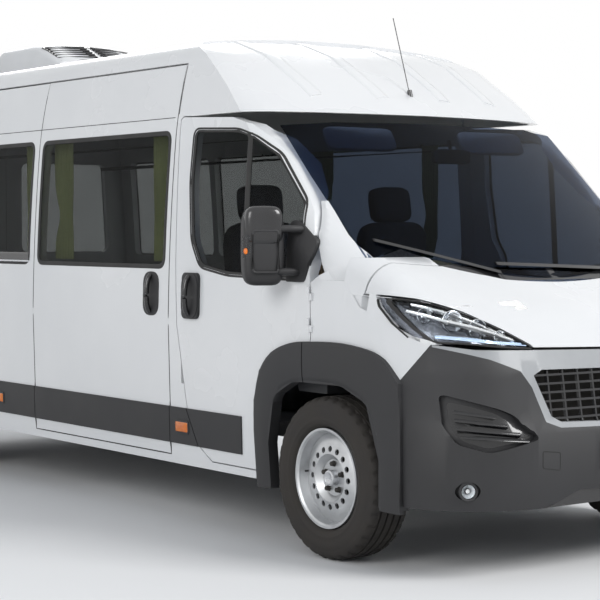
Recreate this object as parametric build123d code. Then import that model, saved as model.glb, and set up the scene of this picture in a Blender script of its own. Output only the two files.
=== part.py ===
from build123d import *
import os
from functools import cache
from math import atan2, cos, degrees, pi, radians, sin

# Camper van, long wheelbase panel van body with a raised roof.
# Millimetres. +Z up, ground at Z 0, nose towards -Y, the van's right side at -X.
# Tables give places as (d, z): d behind the foremost point, z above the ground.

# Overall sizes
LENGTH = 5998.0
FRONT_OVERHANG = 948.0
WHEELBASE = 4035.0
ROOF_CROWN = 2427.0
SILL_LOW = 300.0
FLOOR_TOP = 560.0
FLOOR_THICK = 60.0
FLOOR_HALF = 953.8
CAB_FLOOR_HALF = 935.0
BODY_HALF = 1018.0
MOULDING_HALF = 1025.0
FLARE_HALF = 1036.0

# Walls and gaps
WALL = 50.0
ROOF_WALL = 36.0
BONNET_WALL = 22.0
WING_WALL = 34.0
BUMPER_WALL = 46.0
LAMP_DEPTH = 110.0
GLASS = 5.0
DOOR_GAP = 6.0
SEAT_GAP = 0.3

# Places along the van
CAB_DOOR_REAR = 2170.0
BAY_FRONT = 2206.0
SLIDE_REAR = 3612.0
REAR_FACE = 5960.0
REAR_DOOR_FRONT = REAR_FACE - WALL
SIDE_REAR = REAR_DOOR_FRONT - DOOR_GAP
BELT = 1272.0
WINDOW_TOP = 1926.0
SHOULDER_SEAM = 1929.0
WAIST_SEAM = 2004.0
ROOF_SEAM = 2272.0

# Wheels and tyres
TYRE_R = 360.0
TYRE_WIDTH = 222.0
RIM_R = 221.0
TRACK_FRONT = 1810.0
TRACK_REAR = 1790.0
ARCH_R = 400.0
FLARE_REAR_R = 470.0
STEER_LIMIT = 35.0


def at(d):
    """Y of a place d behind the nose."""
    return d - LENGTH / 2


def block(x0, x1, d0, d1, z0, z1):
    """Box between two planes on each axis."""
    centre = ((x0 + x1) / 2, at((d0 + d1) / 2), (z0 + z1) / 2)
    return Pos(*centre) * Box(abs(x1 - x0), abs(d1 - d0), abs(z1 - z0))


def outline(points, radius=0.0):
    """Flat face of a closed outline, its corners rounded where a radius is given."""
    if radius:
        return make_face(FilletPolyline(*points, radius=radius, close=True))
    return make_face(Polyline(*points, close=True))


def side_prism(points, x0, x1, radius=0.0, inset=0.0):
    """Solid between x0 and x1 whose side view is the outline (d, z)."""
    face = outline([(at(d), z) for d, z in points], radius)
    if inset:
        face = offset(face, -inset, kind=Kind.INTERSECTION)
    return extrude(Plane.YZ.offset(x0) * face, x1 - x0)


def front_prism(points, d0, d1, radius=0.0, inset=0.0):
    """Solid between d0 and d1 whose front view is the outline (x, z)."""
    face = outline(points, radius)
    if inset:
        face = offset(face, -inset, kind=Kind.INTERSECTION)
    plane = Plane((0, at(d0), 0), x_dir=(1, 0, 0), z_dir=(0, -1, 0))
    return extrude(plane * face, d0 - d1)


def plan_prism(points, z0, z1, radius=0.0):
    """Solid between z0 and z1 whose plan is the outline (x, d)."""
    face = outline([(x, at(d)) for x, d in points], radius)
    return extrude(Plane.XY.offset(z0) * face, z1 - z0)


def rod(p0, p1, radius):
    """Round bar between two points (x, d, z)."""
    a = Vector(p0[0], at(p0[1]), p0[2])
    b = Vector(p1[0], at(p1[1]), p1[2])
    axis = b - a
    return Plane(a, z_dir=axis) * Cylinder(
        radius, axis.length, align=(Align.CENTER, Align.CENTER, Align.MIN)
    )


def both(shape):
    """A piece and its mirror on the other side."""
    return shape + mirror(shape, about=Plane.YZ)


def mirrored(points):
    """A half outline from the middle outwards, closed on the other side."""
    return points + [(-x, z) for x, z in reversed(points) if x > 0]


# Outer form of the body

# Half section from the sill to the crown: x, z, and the middle of the arc that leads there
SECTION = [
    (1000.0, SILL_LOW, None),
    (BODY_HALF, 1000.0, None),
    (966.0, SHOULDER_SEAM, (1001.0, 1465.0)),
    (898.0, ROOF_SEAM, (937.0, 2105.0)),
    (790.0, 2385.0, (868.0, 2345.0)),
    (0.0, ROOF_CROWN, (400.0, 2417.0)),
]

# Lean of the cab front at the centre line: d, z
CAB_FRONT = [
    (543.0, 1230.0),
    (1350.0, 1960.0),
    (1600.0, 2140.0),
    (1880.0, 2311.0),
    (2100.0, 2388.0),
    (2330.0, 2440.0),
]
SCREEN_SWEEP = 155.0
SCREEN_HALF = 860.0

# Lean of the nose at the centre line: d, z
NOSE_FRONT = [
    (22.0, 262.0),
    (0.0, 400.0),
    (0.0, 610.0),
    (30.0, 660.0),
    (62.0, 865.0),
    (98.0, 955.0),
    (150.0, 1400.0),
]

# Cross sections over the bonnet and shoulders:
# d, centre z, flat (x, z), shoulder start (x, z), middle (x, z), end (x, z)
NOSE_TOP = [
    (60.0, 915.0, (560.0, 920.0), (760.0, 905.0), (870.0, 862.0), (925.0, 790.0)),
    (98.0, 948.0, (560.0, 953.0), (765.0, 938.0), (875.0, 895.0), (928.0, 830.0)),
    (310.0, 1108.0, (590.0, 1113.0), (800.0, 1100.0), (890.0, 1062.0), (936.0, 980.0)),
    (560.0, 1240.0, (620.0, 1248.0), (860.0, 1264.0), (935.0, 1226.0), (972.0, 1138.0)),
    (800.0, 1352.0, (640.0, 1362.0), (880.0, 1382.0), (962.0, 1346.0), (1004.0, 1262.0)),
]


def section_face(inset):
    """Cross section of the body, each wall moved in by inset."""
    half = [(x - inset if x else 0.0, z) for x, z, _ in SECTION]
    half[0] = (half[0][0], SILL_LOW + inset)
    roof_drop = inset * 0.7
    half[-2] = (half[-2][0] + inset * 0.3, half[-2][1] - inset)
    half[-1] = (0.0, ROOF_CROWN - inset)
    half[-3] = (half[-3][0], half[-3][1] - roof_drop * 0.3)
    lines = [Line((-half[0][0], half[0][1]), half[0])]
    for k in range(1, len(half)):
        mid = SECTION[k][2]
        if mid is None:
            lines.append(Line(half[k - 1], half[k]))
            lines.append(Line((-half[k - 1][0], half[k - 1][1]), (-half[k][0], half[k][1])))
            continue
        drop = inset if k == 5 else (roof_drop if k == 4 else 0.0)
        shift = 0.0 if k == 5 else inset if k < 4 else roof_drop
        m = (mid[0] - shift, mid[1] - drop)
        lines.append(ThreePointArc(half[k - 1], m, half[k]))
        other = [(-half[k - 1][0], half[k - 1][1]), (-m[0], m[1]), (-half[k][0], half[k][1])]
        lines.append(ThreePointArc(*other))
    return make_face(Curve() + lines)


def leaning_stack(face, levels, shift=0.0):
    """Layers of one plan face; each leans from its level to the next."""
    layers = []
    for (d0, z0), (d1, z1) in zip(levels, levels[1:]):
        start = Pos(0, at(d0 + shift), z0) * face
        layers.append(Part() + Solid.extrude(start.face(), Vector(0, d1 - d0, z1 - z0)))
    stack = layers[0]
    for layer in layers[1:]:
        stack += layer
    return stack


def cab_plan(inset, reach):
    """Plan of the cab: a bowed screen, rounded corners and straight sides."""
    half = SCREEN_HALF
    corner = 992.0 - inset
    front = ThreePointArc((-half, SCREEN_SWEEP), (0, 0), (half, SCREEN_SWEEP))
    turn = ThreePointArc((half, SCREEN_SWEEP), (940.0 - inset * 0.6, 228.0), (corner, 360.0))
    back = ThreePointArc((-half, SCREEN_SWEEP), (-940.0 + inset * 0.6, 228.0), (-corner, 360.0))
    sides = [
        Line((corner, 360.0), (1200.0, 1000.0)),
        Line((1200.0, 1000.0), (1200.0, reach)),
        Line((1200.0, reach), (-1200.0, reach)),
        Line((-1200.0, reach), (-1200.0, 1000.0)),
        Line((-1200.0, 1000.0), (-corner, 360.0)),
    ]
    return make_face(Curve() + [front, turn, back] + sides)


def nose_plan(inset, reach):
    """Plan of the nose: a bowed front and rounded corners."""
    side = 1018.0 - inset
    front = ThreePointArc((-600.0, 30.0), (0, 0), (600.0, 30.0))
    turn = ThreePointArc((600.0, 30.0), (880.0 - inset * 0.7, 150.0), (side, 430.0))
    back = ThreePointArc((-600.0, 30.0), (-880.0 + inset * 0.7, 150.0), (-side, 430.0))
    sides = [
        Line((side, 430.0), (side, reach)),
        Line((side, reach), (-side, reach)),
        Line((-side, reach), (-side, 430.0)),
    ]
    return make_face(Curve() + [front, turn, back] + sides)


def nose_section(row, inset):
    """One cross section over the bonnet, from the wheel line to the crown."""
    d, crown, flat, start, mid, end = row
    low = 150.0
    edges = []
    for s in (1, -1):
        a = (0.0, crown - inset)
        b = (s * flat[0], flat[1] - inset)
        c = (s * start[0], start[1] - inset)
        m = (s * (mid[0] - inset * 0.7), mid[1] - inset * 0.7)
        e = (s * (end[0] - inset), end[1])
        f = (s * (end[0] + 60.0 - inset), end[1] - 260.0)
        g = (s * (end[0] + 60.0 - inset), low)
        edges += [Line(a, b), Line(b, c), ThreePointArc(c, m, e), Line(e, f), Line(f, g)]
    edges.append(Line((-end[0] - 60.0 + inset, low), (end[0] + 60.0 - inset, low)))
    plane = Plane((0, at(d), 0), x_dir=(1, 0, 0), z_dir=(0, -1, 0))
    return plane * make_face(Curve() + edges)


@cache
def nose(inset=0.0):
    """Nose of the van up to the cowl, its skin moved in by inset."""
    top = loft([nose_section(row, inset) for row in NOSE_TOP], ruled=True)
    stack = leaning_stack(nose_plan(inset, 1400.0), NOSE_FRONT, shift=inset)
    lower = block(-1100, 1100, 0, 61, 150, 930) + top
    return (lower & stack & tube(inset, 0.0, 800.0)).solid()


@cache
def tube(inset=0.0, d0=0.0, d1=REAR_FACE):
    """Body section carried from d0 to d1."""
    plane = Plane((0, at(d0), 0), x_dir=(1, 0, 0), z_dir=(0, -1, 0))
    return extrude(plane * section_face(inset), d0 - d1)


@cache
def cab(inset=0.0, d1=2400.0):
    """Cab above the bonnet line, with the screen's lean, moved in by inset."""
    stack = leaning_stack(cab_plan(inset, 2600.0), CAB_FRONT, shift=inset * 1.4)
    lower = block(-1100, 1100, 800.0 + inset, d1, SILL_LOW, CAB_FRONT[0][1])
    return ((stack + lower) & tube(inset, 0.0, d1)).solid()


@cache
def cab_shell(inset=WALL, start=0.0):
    return cab(start) - cab(inset)


@cache
def nose_shell(inset, start=0.0):
    return nose(start) - nose(inset)


# Outlines in the side view: d, z

CAB_DOOR = [
    (CAB_DOOR_REAR, 1990.0),
    (2150.0, 2002.0),
    (1719.0, 1981.0),
    (1572.0, 1943.0),
    (1449.0, 1870.0),
    (1310.0, 1755.0),
    (1184.0, 1625.0),
    (1103.0, 1528.0),
    (1062.0, 1442.0),
    (1046.0, 1206.0),
    (1036.0, 985.0),
    (1060.0, 860.0),
    (1300.0, 760.0),
    (1360.0, 600.0),
    (1380.0, 342.0),
    (1841.0, 342.0),
    (1950.0, 405.0),
    (2050.0, 580.0),
    (2125.0, 984.0),
    (2145.0, 1300.0),
]
CAB_WINDOW = [
    (2044.0, 1683.0),
    (2036.0, 1935.0),
    (1661.0, 1918.0),
    (1536.0, 1884.0),
    (1383.0, 1796.0),
    (1159.0, 1573.0),
    (1085.0, 1300.0),
    (1130.0, 1232.0),
    (1695.0, 1241.0),
    (1930.0, 1275.0),
    (2010.0, 1400.0),
]
CAB_WINDOW_R = 38.0

ARCH_FRONT = [
    (560.0, 200.0),
    (552.0, 480.0),
    (630.0, 715.0),
    (800.0, 778.0),
    (1150.0, 775.0),
    (1300.0, 700.0),
    (1350.0, 480.0),
    (1330.0, 200.0),
]
FLARE_FRONT = [
    (420.0, 180.0),
    (415.0, 814.0),
    (493.0, 888.0),
    (593.0, 936.0),
    (799.0, 959.0),
    (1006.0, 957.0),
    (1170.0, 945.0),
    (1316.0, 896.0),
    (1411.0, 808.0),
    (1459.0, 667.0),
    (1464.0, 528.0),
    (1440.0, 180.0),
]

SLIDE_DOOR = [
    (BAY_FRONT, 342.0),
    (BAY_FRONT, 2268.0),
    (SLIDE_REAR, 2268.0),
    (SLIDE_REAR, 342.0),
]

# Side windows behind the doors: front d, rear d
SIDE_WINDOWS = [(2260.0, 3560.0), (3680.0, 4700.0), (4760.0, 5780.0)]
WINDOW_R = 45.0


def wheel_place(row, side):
    """Centre of a wheel: row is front or rear, side is -1 for right."""
    if row == "front":
        return Pos(side * TRACK_FRONT / 2, at(FRONT_OVERHANG), TYRE_R)
    return Pos(side * TRACK_REAR / 2, at(FRONT_OVERHANG + WHEELBASE), TYRE_R)


def rear_arch(radius, x0, x1):
    """Round arch over the rear wheel, open to the ground."""
    d = FRONT_OVERHANG + WHEELBASE
    disc = Plane.YZ.offset(x0) * (Pos(at(d), TYRE_R) * Circle(radius))
    return extrude(disc, x1 - x0) + block(x0, x1, d - radius, d + radius, 0, TYRE_R)


# Bonnet, lamps, grille and bumper in the front view: x, z

BONNET_EDGE = [
    (0.0, 942.0),
    (541.0, 957.0),
    (640.0, 1035.0),
    (760.0, 1105.0),
    (900.0, 1158.0),
    (1060.0, 1188.0),
]
LAMP = [
    (548.0, 955.0),
    (640.0, 1028.0),
    (760.0, 1098.0),
    (900.0, 1151.0),
    (1010.0, 1172.0),
    (1010.0, 1120.0),
    (958.0, 1010.0),
    (925.0, 985.0),
    (800.0, 963.0),
]
FRAME_TOP = [
    (0.0, 936.0),
    (541.0, 950.0),
    (800.0, 956.0),
    (935.0, 977.0),
]
FRAME_LOW = [
    (935.0, 968.0),
    (760.0, 918.0),
    (640.0, 868.0),
    (590.0, 800.0),
    (535.0, 655.0),
    (470.0, 630.0),
    (0.0, 618.0),
]
GRILLE = [
    (0.0, 862.0),
    (530.0, 870.0),
    (575.0, 848.0),
    (505.0, 678.0),
    (456.0, 652.0),
    (0.0, 636.0),
]
BUMPER_LOW = 285.0
PLATE_HALF = 262.0
PLATE_HEIGHT = 118.0
PLATE_MID = 500.0
PLATE_BOLTS = 290.0
PLATE_BOLT_R = 3.0
WING_TIP = (445.0, 809.0)


def bonnet_region(gap):
    """Room above the bonnet's lower edge and ahead of its side seam."""
    edge = [(x, z + gap) for x, z in BONNET_EDGE]
    above = front_prism(mirrored(edge + [(1060.0, 1500.0), (0.0, 1500.0)]), 0, 800)
    seam = [(0.0, 900.0), (690.0 - gap, 1150.0), (652.0 - gap, 1299.0), (640.0 - gap, 1500.0), (0.0, 1500.0)]
    return above & side_prism(seam, -1100, 1100)


# Bonnet hinge on +X: outer face of its arm, then d and z of the axis
BONNET_HINGE = (892.0, 760.0, 1305.0)
HINGE_ARM = [
    (751.0, 1305.0),
    (738.0, 1215.0),
    (655.0, 1215.0),
    (606.0, 1300.0),
    (582.0, 1290.0),
    (640.0, 1201.0),
    (752.0, 1201.0),
    (769.0, 1305.0),
]
HINGE_ARM_THICK = 12.0
BONNET_REAR_GAP = 30.0
BONNET_GAP = 9.0


def screen_cutter(margin):
    """Room ahead of the screen plane, moved forward by margin."""
    return leaning_stack(cab_plan(0.0, 2600.0), CAB_FRONT, shift=-margin)


def largest(shape):
    """The biggest solid of a shape; a cut can leave slivers at the seams."""
    return max(shape.solids(), key=lambda s: s.volume)


def solids_over(shape, volume):
    """The solids of a shape larger than a volume."""
    return Part() + [s for s in shape.solids() if s.volume > volume]


def make_bonnet():
    skin = (nose() & bonnet_region(BONNET_GAP / 2)) - nose(BONNET_WALL)
    d0, z0 = CAB_FRONT[0]
    under = Pos(0, at(d0 - BONNET_REAR_GAP), z0 - 120) * cab_plan(0.0, 1400.0)
    skin = largest(skin - screen_cutter(BONNET_REAR_GAP) - extrude(under, 121))
    x, d, z = BONNET_HINGE
    start = x - HINGE_ARM_THICK
    arm = side_prism(HINGE_ARM, start, x) & nose(BONNET_WALL - 1)
    arm += rod((start, d, z), (x, d, z), 9.0)
    return largest(skin + both(arm))


def make_lamp():
    """Right-hand lamp on +X, its back behind the skin."""
    body = nose() & front_prism(LAMP, 0, 690)
    body -= Pos(-30, LAMP_DEPTH, 0) * nose(WING_WALL)
    return largest(body)


def frame_region():
    return front_prism(mirrored(FRAME_TOP + FRAME_LOW), 0, 700)


def make_grille():
    """Bright frame and dark mesh of the grille."""
    hole = front_prism(mirrored(GRILLE), 0, 700)
    band = (nose() & frame_region()) - nose(WING_WALL) - hole
    bars = Part()
    for k in range(6):
        z = 662.0 + k * 36.0
        bars += block(-600, 600, 0, 400, z, z + 9.0)
    for k in range(-6, 7):
        bars += block(k * 82.0 - 4, k * 82.0 + 4, 0, 400, 620, 890)
    mesh = ((nose() & hole) - Pos(0, 14, 0) * nose()) & bars
    mesh = Pos(0, 12, 0) * mesh
    return largest(band), solids_over(mesh, 1000.0)


def ahead_of_wing():
    """Room ahead of the seam between bumper and wing."""
    points = [(-20.0, 150.0), (-20.0, 978.0), (316.0, 978.0), WING_TIP, (415.0, 780.0), (415.0, 150.0)]
    return side_prism(points, -1100, 1100)


def make_bumper():
    region = block(-1100, 1100, -20, 600, BUMPER_LOW, 978) & ahead_of_wing()
    region -= front_prism(mirrored([(0.0, 1000.0), (935.0, 1000.0)] + FRAME_LOW), -10, 700)
    region -= both(front_prism(LAMP, 0, 800) + side_prism(FLARE_FRONT, 500, 1100))
    region -= front_prism(mirrored([(0.0, 356.0), (376.0, 366.0), (540.0, 300.0), (0.0, 300.0)]), -10, 300)
    skin = largest((nose() & region) - nose(BUMPER_WALL))
    x, z = PLATE_HALF, PLATE_MID
    skin += block(-x, x, 0, 12, z - PLATE_HEIGHT / 2, z + PLATE_HEIGHT / 2)
    for side in (-1, 1):
        skin -= rod((side * PLATE_BOLTS / 2, -20, z), (side * PLATE_BOLTS / 2, 90, z), PLATE_BOLT_R)
    return skin


# Seam between wing and screen pillar in the side view
PILLAR_SEAM = [(560.0, 1440.0), (761.0, 1352.0), (948.0, 1270.0), (1060.0, 1206.0)]


def below_pillar_seam():
    """Room under the seam between wing and screen pillar, on +X."""
    return side_prism(PILLAR_SEAM + [(1110.0, 1180.0), (1110.0, 200.0), (200.0, 200.0), (200.0, 1440.0)], 500, 1100)


def make_wing():
    """Wing on +X: behind the bumper and lamp, under the bonnet's side seam."""
    region = block(600, 1100, 300, 1110, 250, 1330)
    region -= bonnet_region(-BONNET_GAP / 2)
    region -= ahead_of_wing()
    region -= front_prism(LAMP, 0, 800)
    region -= frame_region()
    region -= side_prism(ARCH_FRONT, 500, 1100)
    region -= side_prism(CAB_DOOR, 500, 1100, inset=-DOOR_GAP)
    region -= side_prism(FLARE_FRONT, 500, 1100)
    region &= below_pillar_seam()
    outer = (nose() & region) + (cab() & region)
    hollow = tube(WING_WALL) & block(-1100, 1100, 700, 1120, 200, CAB_FRONT[0][1])
    x, d, z = BONNET_HINGE
    hollow += block(x - HINGE_ARM_THICK - 7, x + 7, 640, 700, 1180, z - 12)
    return largest(outer - nose(WING_WALL) - cab(WING_WALL) - hollow - screen_cutter(0.0))


def screen_outline(inset):
    points = [
        (0.0, 1962.0 - inset),
        (600.0, 1955.0 - inset),
        (858.0 - inset, 1936.0 - inset),
        (872.0 - inset, 1700.0),
        (880.0 - inset, 1330.0),
        (860.0 - inset, 1240.0),
        (0.0, 1225.0),
    ]
    return mirrored(points)


@cache
def cab_openings():
    """Both cab door openings, each a gap larger than its door."""
    return both(side_prism(CAB_DOOR, 500, 1100, inset=-DOOR_GAP))


TRAY_FRONT = 535.0
TRAY_TOP = 1176.0


def make_front_frame():
    """Screen pillars, header and cowl, under the roof cap."""
    region = block(-1100, 1100, 400, 2100, 1190, WAIST_SEAM)
    region -= front_prism(screen_outline(0.0), 300, 1560)
    region -= cab_openings()
    region -= both(below_pillar_seam())
    skin = (cab() & region) - cab(WALL) - nose()
    tray = block(-930, 930, 722, 1009.7, 1150, 1190.5) + block(-560, 560, TRAY_FRONT, 722, 1150, TRAY_TOP)
    x, d, z = BONNET_HINGE
    tray += both(block(x + SEAT_GAP, x + 12, d - 15, d + 15, 1185, z - 5))
    return largest(skin + tray)


def make_screen():
    body = (cab() & front_prism(screen_outline(SEAT_GAP), 300, 1560)) - cab(GLASS)
    body -= nose()
    return largest(body)


def cap_region():
    """Roof cap over the cab, down to the door tops and the screen."""
    points = [(1200.0, WAIST_SEAM), (BAY_FRONT - 8, WAIST_SEAM), (BAY_FRONT - 8, 2500.0), (1200.0, 2500.0)]
    return side_prism(points, -1100, 1100)


def make_roof_cap():
    outer = cab(0.0) & cap_region()
    return largest(outer - cab(ROOF_WALL) - cab_openings())


def make_roof():
    region = block(-1100, 1100, BAY_FRONT - 8, REAR_FACE - 6, ROOF_SEAM, 2500)
    return largest((tube() & region) - tube(ROOF_WALL, 0.0, REAR_FACE - WALL))


def window(d0, d1, inset=0.0):
    points = [(d0, BELT), (d0, WINDOW_TOP), (d1, WINDOW_TOP), (d1, BELT)]
    return side_prism(points, 700, 1100, radius=WINDOW_R, inset=inset)


def make_side(side):
    """Body side behind the cab door, from sill to roof seam; side -1 is the right."""
    region = block(900, 1100, BAY_FRONT - 8, SIDE_REAR, SILL_LOW, ROOF_SEAM)
    region += block(900, 1100, 2100, BAY_FRONT - 8, SILL_LOW, WAIST_SEAM)
    region += block(900, 1100, 1380, 2150, SILL_LOW, 700)
    region -= side_prism(CAB_DOOR, 500, 1100, inset=-DOOR_GAP)
    region -= side_prism(FLARE_FRONT, 500, 1100, inset=-DOOR_GAP)
    region -= block(900, 1100, 5755, SIDE_REAR, SILL_LOW, 580)
    body = (tube() & region) - tube(WALL)
    body -= rear_arch(FLARE_REAR_R, 500, 1100)
    if side < 0:
        body -= side_prism(SLIDE_DOOR, 500, 1100)
        body -= window(*SIDE_WINDOWS[1])
    else:
        for row in SIDE_WINDOWS:
            body -= window(*row)
    body = solids_over(body, 1e5)
    x, d = REAR_HINGE
    for z in HINGE_LEVELS_REAR:
        body += rod((x, d, z - 60.0), (x, d, z - SEAT_GAP), 9.0)
        body += block(x - 34, x, d - 34, d - 6, z - 60.0, z - SEAT_GAP)
    return body if side > 0 else mirror(body, about=Plane.YZ)


def make_slide_door():
    region = side_prism(SLIDE_DOOR, 500, 1100, inset=SEAT_GAP)
    body = (tube() & region) - tube(WALL) - window(*SIDE_WINDOWS[0])
    return mirror(largest(body), about=Plane.YZ)



def make_cab_door():
    """Cab door on +X with its window cut and its lower front corner left to the flare."""
    region = side_prism(CAB_DOOR, 500, 1100)
    region -= side_prism(CAB_WINDOW, 500, 1100, radius=CAB_WINDOW_R)
    region -= side_prism(FLARE_FRONT, 500, 1100)
    body = (cab() & region) - cab(WALL)
    body = largest(body - block(400, 950, 1300, 2200, SILL_LOW, SILL_LOW + WALL + 2))
    for z in HINGE_LEVELS_CAB:
        body += hinge_leaf(CAB_HINGE, z, 20.0)
    return body


# Hinge barrels: x and d of the axis, then the levels of the leaves
CAB_HINGE = (1026.5, 1040.0)
HINGE_LEVELS_CAB = (1030.0, 1170.0)
REAR_HINGE = (1032.0, 5893.0)
HINGE_LEVELS_REAR = (760.0, 1240.0)
BARREL_R = 7.0


def hinge_leaf(axis, z, reach):
    """Half of a hinge: a barrel on the axis and a leaf to the panel behind it."""
    x, d = axis
    barrel = rod((x, d, z), (x, d, z + 30.0), BARREL_R)
    leaf = block(x - 24, x, d + 2, d + reach, z, z + 30.0)
    return barrel + leaf


def hinge_seat(axis, z, reach):
    """The fixed half below a leaf, with the pin that carries it."""
    x, d = axis
    barrel = rod((x, d, z - 30.0), (x, d, z - SEAT_GAP), BARREL_R)
    return barrel + block(x - 24, x, d - reach, d - 5, z - 30.0, z - SEAT_GAP)


def make_cab_glass():
    region = side_prism(CAB_WINDOW, 500, 1100, radius=CAB_WINDOW_R, inset=SEAT_GAP)
    return largest((cab(8.0) & region) - cab(8.0 + GLASS))


def flare_region():
    """Front flare on +X, from its outer edge to the wheel opening."""
    ring = side_prism(FLARE_FRONT, 500, 1100) - side_prism(ARCH_FRONT, 500, 1100)
    skin = tube(-18.0, 0.0, 2200.0) - tube(WING_WALL, 0.0, 2200.0)
    ring &= block(968, 1100, 400, 1500, 268, 1000)
    return largest(skin & ring)


def make_flare_front():
    return largest(flare_region() & block(500, 1100, 400, FLARE_SPLIT, 200, 1000))


def make_door_trim():
    """Dark trim on the cab door: flare end, moulding and handle."""
    flare = largest(flare_region() & block(500, 1100, FLARE_SPLIT + DOOR_GAP, 1500, 200, 1000))
    strip = (tube(-7.0) - tube()) & block(500, 1100, 1583, 2600, 401, 580)
    strip &= side_prism(CAB_DOOR, 500, 1100)
    grip = (tube(-16.0) - tube()) & side_prism(handle_outline(1924.0, 2065.0), 500, 1100, radius=30.0)
    return Part() + [flare, strip.solid(), grip.solid()]


FLARE_SPLIT = 1072.0
HANDLE_Z = (1020.0, 1243.0)


def handle_outline(d0, d1):
    z0, z1 = HANDLE_Z
    return [(d0, z0), (d0, z1), (d1, z1), (d1, z0)]


# Plan of the mirror head on +X: x, d
MIRROR_PLAN = [
    (1056.0, 1100.0),
    (1120.0, 1104.0),
    (1195.0, 1195.0),
    (1213.0, 1330.0),
    (1150.0, 1340.0),
    (1062.0, 1240.0),
]
MIRROR_Z = (1203.0, 1554.0)


def make_mirror():
    """Mirror on +X: head, two arms and the foot on the door."""
    head = plan_prism(MIRROR_PLAN, *MIRROR_Z, radius=22.0)
    arms = Part()
    for z in (1232.0, 1428.0):
        arms += plan_prism([(996, 1098), (1080, 1108), (1080, 1170), (996, 1150)], z, z + 34)
    foot = side_prism([(1088, 1230), (1088, 1300), (1160, 1480), (1190, 1480), (1190, 1230)], 990, 1014)
    return largest(head + arms + foot - cab(-SEAT_GAP))


def make_side_glass():
    """Flush side windows: two on the right behind the door, three on the left, and the door's own."""
    panes = []
    for k, row in enumerate(SIDE_WINDOWS):
        pane = (tube(1.0) & window(*row, inset=SEAT_GAP)) - tube(1.0 + GLASS)
        pane = pane.solid()
        panes.append(pane)
        if k < 2:
            panes.append(mirror(pane, about=Plane.YZ))
    return Part() + panes


REAR_DOOR_LOW = 585.0
REAR_DOOR_TOP = 2262.0
REAR_WINDOW = [(120.0, 1290.0), (120.0, 1915.0), (780.0, 1915.0), (820.0, 1290.0)]


def make_rear_door():
    """Rear door on +X, full height, its window cut."""
    region = block(2.5, 1100, REAR_DOOR_FRONT, REAR_FACE, REAR_DOOR_LOW, REAR_DOOR_TOP)
    body = tube() & region
    body -= front_prism(REAR_WINDOW, 5800, 6000, radius=50.0)
    body = largest(body)
    for z in HINGE_LEVELS_REAR:
        x, d = REAR_HINGE
        body += rod((x, d, z), (x, d, z + 60.0), 9.0) + block(x - 6, x, d, d + 36, z, z + 60.0)
        body += block(x - 40, x, d + 19, d + 36, z, z + 60.0)
    return body


def make_rear_glass():
    pane = front_prism(REAR_WINDOW, REAR_FACE - 8.0, REAR_FACE - 8.0 + GLASS, radius=50.0, inset=SEAT_GAP)
    return pane.solid()


def make_bumper_rear():
    plan = [(-1012.0, 5760.0), (-1012.0, 5900.0), (-900.0, LENGTH), (900.0, LENGTH), (1012.0, 5900.0), (1012.0, 5760.0)]
    body = plan_prism(plan, 330, 575, radius=40.0)
    body -= block(-FLOOR_HALF - 2, FLOOR_HALF + 2, 5600, SIDE_REAR + SEAT_GAP, 300, 600)
    return largest(body)


def make_tail_lamps():
    """Tall lamps in the rear corners, beside the doors."""
    return None


def make_mouldings():
    """Dark mouldings on the fixed sides, with the rear flares."""
    skin = tube(-7.0) - tube()
    keep = block(500, 1100, 0, SIDE_REAR, 401, 580)
    left = skin & keep
    left -= side_prism(CAB_DOOR, 500, 1100, inset=-DOOR_GAP)
    left -= block(500, 1100, 0, 1900, 300, 700)
    left -= rear_arch(FLARE_REAR_R, 500, 1100)
    left -= block(900, 1100, 5755, SIDE_REAR, SILL_LOW, 580)
    pieces = [s for s in left.solids() if s.volume > 1000]
    right = mirror(left, about=Plane.YZ)
    right -= block(-1100, -500, BAY_FRONT - 3, BAY_FRONT + 3, 300, 700)
    right -= block(-1100, -500, SLIDE_REAR - 3, SLIDE_REAR + 3, 300, 700)
    pieces += [s for s in right.solids() if s.volume > 1000]
    ring = rear_arch(FLARE_REAR_R, 500, 1100) - rear_arch(ARCH_R, 500, 1100)
    flare = ((tube(-18.0) - tube(WING_WALL)) & ring) & block(968, 1100, 4000, 5900, 268, 1000)
    flare = largest(flare)
    front = make_flare_front()
    pieces += [flare, mirror(flare, about=Plane.YZ), front, mirror(front, about=Plane.YZ)]
    return Part() + pieces


# Running gear


def make_tyre():
    """Tyre about X at the origin."""
    w = TYRE_WIDTH / 2
    profile = [
        (RIM_R - 8.5, -w + 30.5),
        (RIM_R + 0.5, -w + 30.5),
        (RIM_R + 30, -w + 4),
        (RIM_R + 72, -w),
        (TYRE_R - 18, -w + 12),
        (TYRE_R, -w + 34),
        (TYRE_R, w - 34),
        (TYRE_R - 18, w - 12),
        (RIM_R + 72, w),
        (RIM_R + 30, w - 4),
        (RIM_R + 0.5, w - 30.5),
        (RIM_R - 8.5, w - 30.5),
    ]
    face = make_face(Polyline(*profile, close=True))
    ring = revolve(face, Axis.Y)
    grooves = Part()
    for y in (-46.0, -16.0, 16.0, 46.0):
        groove = make_face(Polyline((TYRE_R - 8, y - 4), (TYRE_R + 5, y - 4), (TYRE_R + 5, y + 4), (TYRE_R - 8, y + 4), close=True))
        grooves += revolve(groove, Axis.Y)
    return (Rot(0, 0, -90) * (ring - grooves)).solid()


# Half profile of the steel wheel, outer face towards +Y before it is turned: radius, place
HOLES = 16
HOLE_R = 13.0
HOLE_CIRCLE = 128.0


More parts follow.
